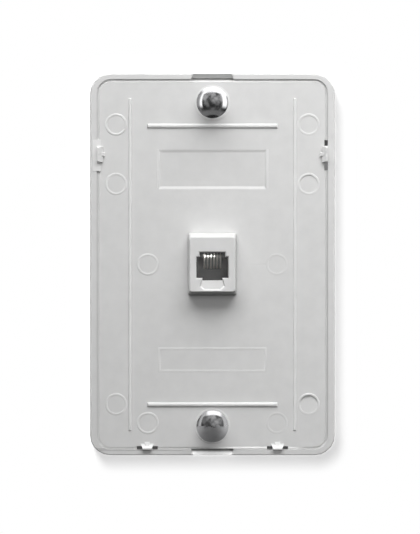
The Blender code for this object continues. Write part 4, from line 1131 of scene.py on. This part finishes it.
def metal(name):
    """Metal with uneven polish."""
    dark, light, roughness, scale, relief = METALS[name]
    gloss = [roughness * share for share in METAL_GLOSS]
    noises = [(scale * finer, detail) for finer, detail in METAL_NOISES]
    material, shader = uneven(name, (dark, light), gloss, noises, relief, 0.5)
    shader.inputs["Metallic"].default_value = 1.0
    return material


def dulled_with_painted_shade(material, level):
    """Make a polished metal dull below a level, with a blotchy border, and paint shade onto it."""
    tree = material.node_tree
    shader = tree.nodes["Principled BSDF"]
    place = tree.nodes.new("ShaderNodeTexCoord").outputs["Object"]
    x, _, z = axes_of(tree, place)
    blotch = product(tree, noise_from(tree, place, DULL_BLOTCH_SCALE, 2.0), DULL_BLOTCH)
    height = step_of(tree, "SUBTRACT", z, blotch)
    start, end = (level - reach for reach in DULL_EDGE)
    dull = between(tree, height, start, end, DULL_ROUGHNESS, 0.0)
    polish = shader.inputs["Roughness"].links[0].from_socket
    tree.links.new(step_of(tree, "MAXIMUM", polish, dull), shader.inputs["Roughness"])
    # Painted shade: darker at the sides above the level, a little darker below it, and darker
    # towards the foot
    glint_shade = between(tree, apart(tree, x, SIDE_SHADE_X), *SIDE_SHADE_REACH, 1.0, SIDE_SHADE_SHARE)
    tone = step_of(tree, "MAXIMUM", glint_shade, between(tree, height, start, end, DULL_SHADE_SHARE, 0.0))
    start, end = (level - reach for reach in FOOT_SHADE)
    foot = between(tree, z, start, end, FOOT_SHADE_SHARE, 1.0)
    scaled_colour(tree, step_of(tree, "MINIMUM", foot, tone))
    return material


def build_materials():
    """The finishes; the plate's two mouldings share a slot, and so do the studs."""
    plate = plastic_with_painted_crest_light("plate_plastic_moulded", LUG_BANDS, UPPER_LUG_SHARE)
    panel = plastic_with_painted_crest_light("plate_plastic_panel", PANEL_BANDS)
    jack = moulded_plastic("jack_plastic_moulded", JACK_COLOUR, JACK_ROUGHNESS)
    insert = moulded_plastic("insert_plastic_moulded", INSERT_COLOUR, INSERT_ROUGHNESS)
    # Painted light and shade: on the plate's ramps and rim, in the panel's groove, left to right
    # across both, under the jack and at the insert's foot
    return {
        "plate": painted_light_across(painted_rim_shade(painted_ramp_light_and_shade(plate)), *PLATE_ACROSS),
        "panel": painted_light_across(painted_groove_shade_and_light(panel), *PANEL_ACROSS),
        "jack": shaded_underside(jack),
        "insert": shaded_foot(insert),
        "gilt": metal("gilt_wire_drawn"),
        "upper_stud": metal("steel_polished"),
        "lower_stud": dulled_with_painted_shade(metal("steel_dulled_painted_shade"), -stud_height() - DULL_MIDDLE),
        "zinc": metal("zinc_plating"),
        "brass": metal("tinned_brass_sheet"),
    }


def build_hardware(materials):
    """Pieces that are carried over with softened edges."""
    softened("mounting_base", "plate_plastic", materials["plate"], MOULDED_EDGE)
    softened("jack_insert", "insert_plastic", materials["insert"], MOULDED_EDGE / 3)
    for name in ("upper", "lower"):
        softened(f"stud_nut_{name}", "zinc_steel", materials["zinc"], METAL_EDGE)
    for number in range(1, 7):
        for piece in ("terminal_screw", "terminal_washer"):
            softened(f"{piece}_{number}", "zinc_steel", materials["zinc"], METAL_EDGE)
        softened(f"spade_lug_{number}", "tinned_brass", materials["brass"], METAL_EDGE)


def build_leads():
    """Insulated leads keep their solids and get their finish."""
    for name, colour in LEAD_COLOURS.items():
        lead = frame["nodes"][f"lead_{name}"]
        lead.data.materials.clear()
        lead.data.materials.append(moulded_plastic(
            f"{name}_insulation_skin", colour, LEAD_ROUGHNESS, LEAD_VARIATION,
        ))


def vector_step(tree, operation, vector, constant=(0.0, 0.0, 0.0), result="Vector"):
    """One step of vector arithmetic on a shader's coordinate."""
    node = tree.nodes.new("ShaderNodeVectorMath")
    node.operation = operation
    tree.links.new(vector, node.inputs[0])
    node.inputs[1].default_value = constant
    return node.outputs[result]


def wall_shader(tree):
    """White wall with the plate's shadow, painted shade behind the plate and no rear side."""
    coordinate = tree.nodes.new("ShaderNodeTexCoord").outputs["Object"]
    away = vector_step(tree, "ABSOLUTE", coordinate)
    away = vector_step(tree, "SUBTRACT", away, (HIDDEN_HALF_X, 1.0, HIDDEN_HALF_Z))
    reach = vector_step(tree, "LENGTH", vector_step(tree, "MAXIMUM", away), result="Value")
    # Painted shade behind the plate, with a band of painted light across it at LOWER_HOLE_Z
    from_hole = apart(tree, axes_of(tree, coordinate)[2], LOWER_HOLE_Z)
    hidden = node_in(tree, "ShaderNodeEmission")
    glow = between(tree, from_hole, *LOWER_HOLE_EDGE, LOWER_HOLE_PAINTED_LIGHT, HIDDEN_PAINTED_SHADE)
    tree.links.new(glow, hidden.inputs["Strength"])
    lit = tree.nodes.new("ShaderNodeAddShader")
    diffuse = node_in(tree, "ShaderNodeBsdfDiffuse", Color=BACKDROP_COLOUR)
    lift = node_in(tree, "ShaderNodeEmission", Strength=BACKDROP_LIFT)
    tree.links.new(diffuse.outputs[0], lit.inputs[0])
    tree.links.new(lift.outputs[0], lit.inputs[1])
    outside = step_of(tree, "GREATER_THAN", reach, HIDDEN_ROUND)
    near = mixed(tree, outside, hidden.outputs[0], lit.outputs[0])
    fade = between(tree, reach, HIDDEN_ROUND, SHADOW_REACH, 0.0, 1.0)
    white = node_in(tree, "ShaderNodeEmission", Strength=1.0)
    front = mixed(tree, fade, near, white.outputs[0])
    behind = tree.nodes.new("ShaderNodeNewGeometry").outputs["Backfacing"]
    see_through = tree.nodes.new("ShaderNodeBsdfTransparent")
    return mixed(tree, behind, front, see_through.outputs[0])


def build_backdrop():
    """White wall behind the plate that keeps its shadow and is open from behind."""
    mesh = bpy.data.meshes.new("backdrop")
    corners = ring(rectangle(BACKDROP_HALF, BACKDROP_HALF), BACKDROP_Y)
    mesh.from_pydata(corners, [], [range(len(corners))])
    material = bpy.data.materials.new("backdrop_white")
    material.use_nodes = True
    tree = material.node_tree
    tree.nodes.clear()
    output = tree.nodes.new("ShaderNodeOutputMaterial")
    tree.links.new(wall_shader(tree), output.inputs["Surface"])
    mesh.materials.append(material)
    wall = new_object("backdrop", mesh)
    wall.visible_shadow = False


def room_strength(tree):
    """What polished metal reflects: a dark room in front, white screens round it, dark below."""
    direction = tree.nodes.new("ShaderNodeTexCoord").outputs["Generated"]
    across, depth, height = axes_of(tree, direction)
    front = step_of(tree, "MAXIMUM", product(tree, depth, -1.0), 0.001)
    level = step_of(tree, "MAXIMUM", front, product(tree, height, ROOM_TOP_LEVEL))
    leftward = step_of(tree, "DIVIDE", product(tree, across, -1.0), level)
    rightward = step_of(tree, "DIVIDE", across, level)
    steep = step_of(tree, "MAXIMUM", apart(tree, across), height)
    screens = product(
        tree, between(tree, step_of(tree, "DIVIDE", steep, front), *ROOM_SCREENS),
        between(tree, height, *ROOM_SCREEN_FEET), between(tree, leftward, *ROOM_FAR_LEFT),
        between(tree, rightward, *ROOM_FAR_RIGHT),
    )
    clutter = product(
        tree, between(tree, noise_from(tree, direction, *ROOM_CLUTTER_NOISE), *ROOM_CLUTTER),
        between(tree, height, *ROOM_CLUTTER_HEIGHTS),
    )
    plain = step_of(tree, "MAXIMUM", clutter, between(tree, height, *ROOM_LOW))
    room = step_of(tree, "MAXIMUM", screens, plain)
    return product(tree, room, between(tree, height, *ROOM_FLOOR))


def build_world():
    """Soft ambient light, white for the camera, and a photographer's room for reflections."""
    world = bpy.data.worlds.new("studio")
    world.use_nodes = True
    tree = world.node_tree
    tree.nodes.clear()
    plain = (1.0, 1.0, 1.0, 1.0)
    ambient = node_in(tree, "ShaderNodeBackground", Color=plain, Strength=AMBIENT)
    white = node_in(tree, "ShaderNodeBackground", Color=plain, Strength=1.0)
    room = node_in(tree, "ShaderNodeBackground", Color=plain)
    tree.links.new(room_strength(tree), room.inputs["Strength"])
    ray = tree.nodes.new("ShaderNodeLightPath").outputs
    unseen = mixed(tree, ray["Is Glossy Ray"], ambient.outputs[0], room.outputs[0])
    seen = step_of(tree, "MAXIMUM", ray["Is Camera Ray"], ray["Is Transmission Ray"])
    output = tree.nodes.new("ShaderNodeOutputWorld")
    tree.links.new(mixed(tree, seen, unseen, white.outputs[0]), output.inputs["Surface"])
    bpy.context.scene.world = world


def area_light(name, place, size, energy):
    """Rectangular soft light aimed at the plate's middle."""
    lamp = bpy.data.lights.new(name, "AREA")
    lamp.shape = "RECTANGLE"
    lamp.size, lamp.size_y = size
    lamp.energy = energy
    holder = new_object(name, lamp)
    holder.location = place
    holder.rotation_mode = "QUATERNION"
    holder.rotation_quaternion = (-Vector(place)).to_track_quat("-Z", "Y")
    holder.visible_glossy = False
    return holder


def link_set(name, members, state="INCLUDE"):
    """Collection that names what a lamp lights or what shades it."""
    group = bpy.data.collections.new(name)
    for number, member in enumerate(members):
        group.objects.link(bpy.data.objects[member])
        group.collection_objects[number].light_linking.link_state = state
    return group


def build_lights():
    """All lamps, and what some of them light or pass."""
    lamps = {name: area_light(name, *values) for name, values in LAMPS.items()}
    wires = [f"contact_wire_{number}_drawn" for number in range(1, 7)]
    spared = link_set("not_the_backdrop", ["backdrop"], "EXCLUDE")
    for name, lit in (
        ("opening_lamp", link_set("contacts_only", ["jack_insert_finished", *wires])),
        ("backdrop_lamp", link_set("backdrop_only", ["backdrop"])),
        ("key_above", spared), ("key_past_studs", spared), ("fill_front", spared),
    ):
        lamps[name].light_linking.receiver_collection = lit
    lamps["opening_lamp"].visible_glossy = True
    studs = ["upper_stud_turned", "lower_stud_turned"]
    passed = link_set("all_but_the_studs", studs, "EXCLUDE")
    lamps["key_past_studs"].light_linking.blocker_collection = passed


def build_camera():
    """Long lens straight at the front that sets the plate as in the photograph."""
    data = bpy.data.cameras.new("front_camera")
    data.lens = LENS
    data.sensor_width = SENSOR
    distance = IMAGE_HEIGHT * PIXEL / 2 / (SENSOR / 2 / LENS)
    camera = new_object("front_camera", data)
    camera.location = (
        (IMAGE_WIDTH / 2 - OBJECT_PIXEL[0]) * PIXEL,
        PANEL_FRONT - distance,
        (OBJECT_PIXEL[1] - IMAGE_HEIGHT / 2) * PIXEL,
    )
    camera.rotation_euler = (math.pi / 2, 0.0, 0.0)
    bpy.context.scene.camera = camera


finishes = build_materials()
build_panel(finishes["panel"])
build_tower(finishes["jack"])
build_studs(finishes)
build_wires(finishes["gilt"])
build_hardware(finishes)
build_leads()
build_backdrop()
build_world()
build_lights()
build_camera()
bpy.context.scene.view_settings.view_transform = "Standard"
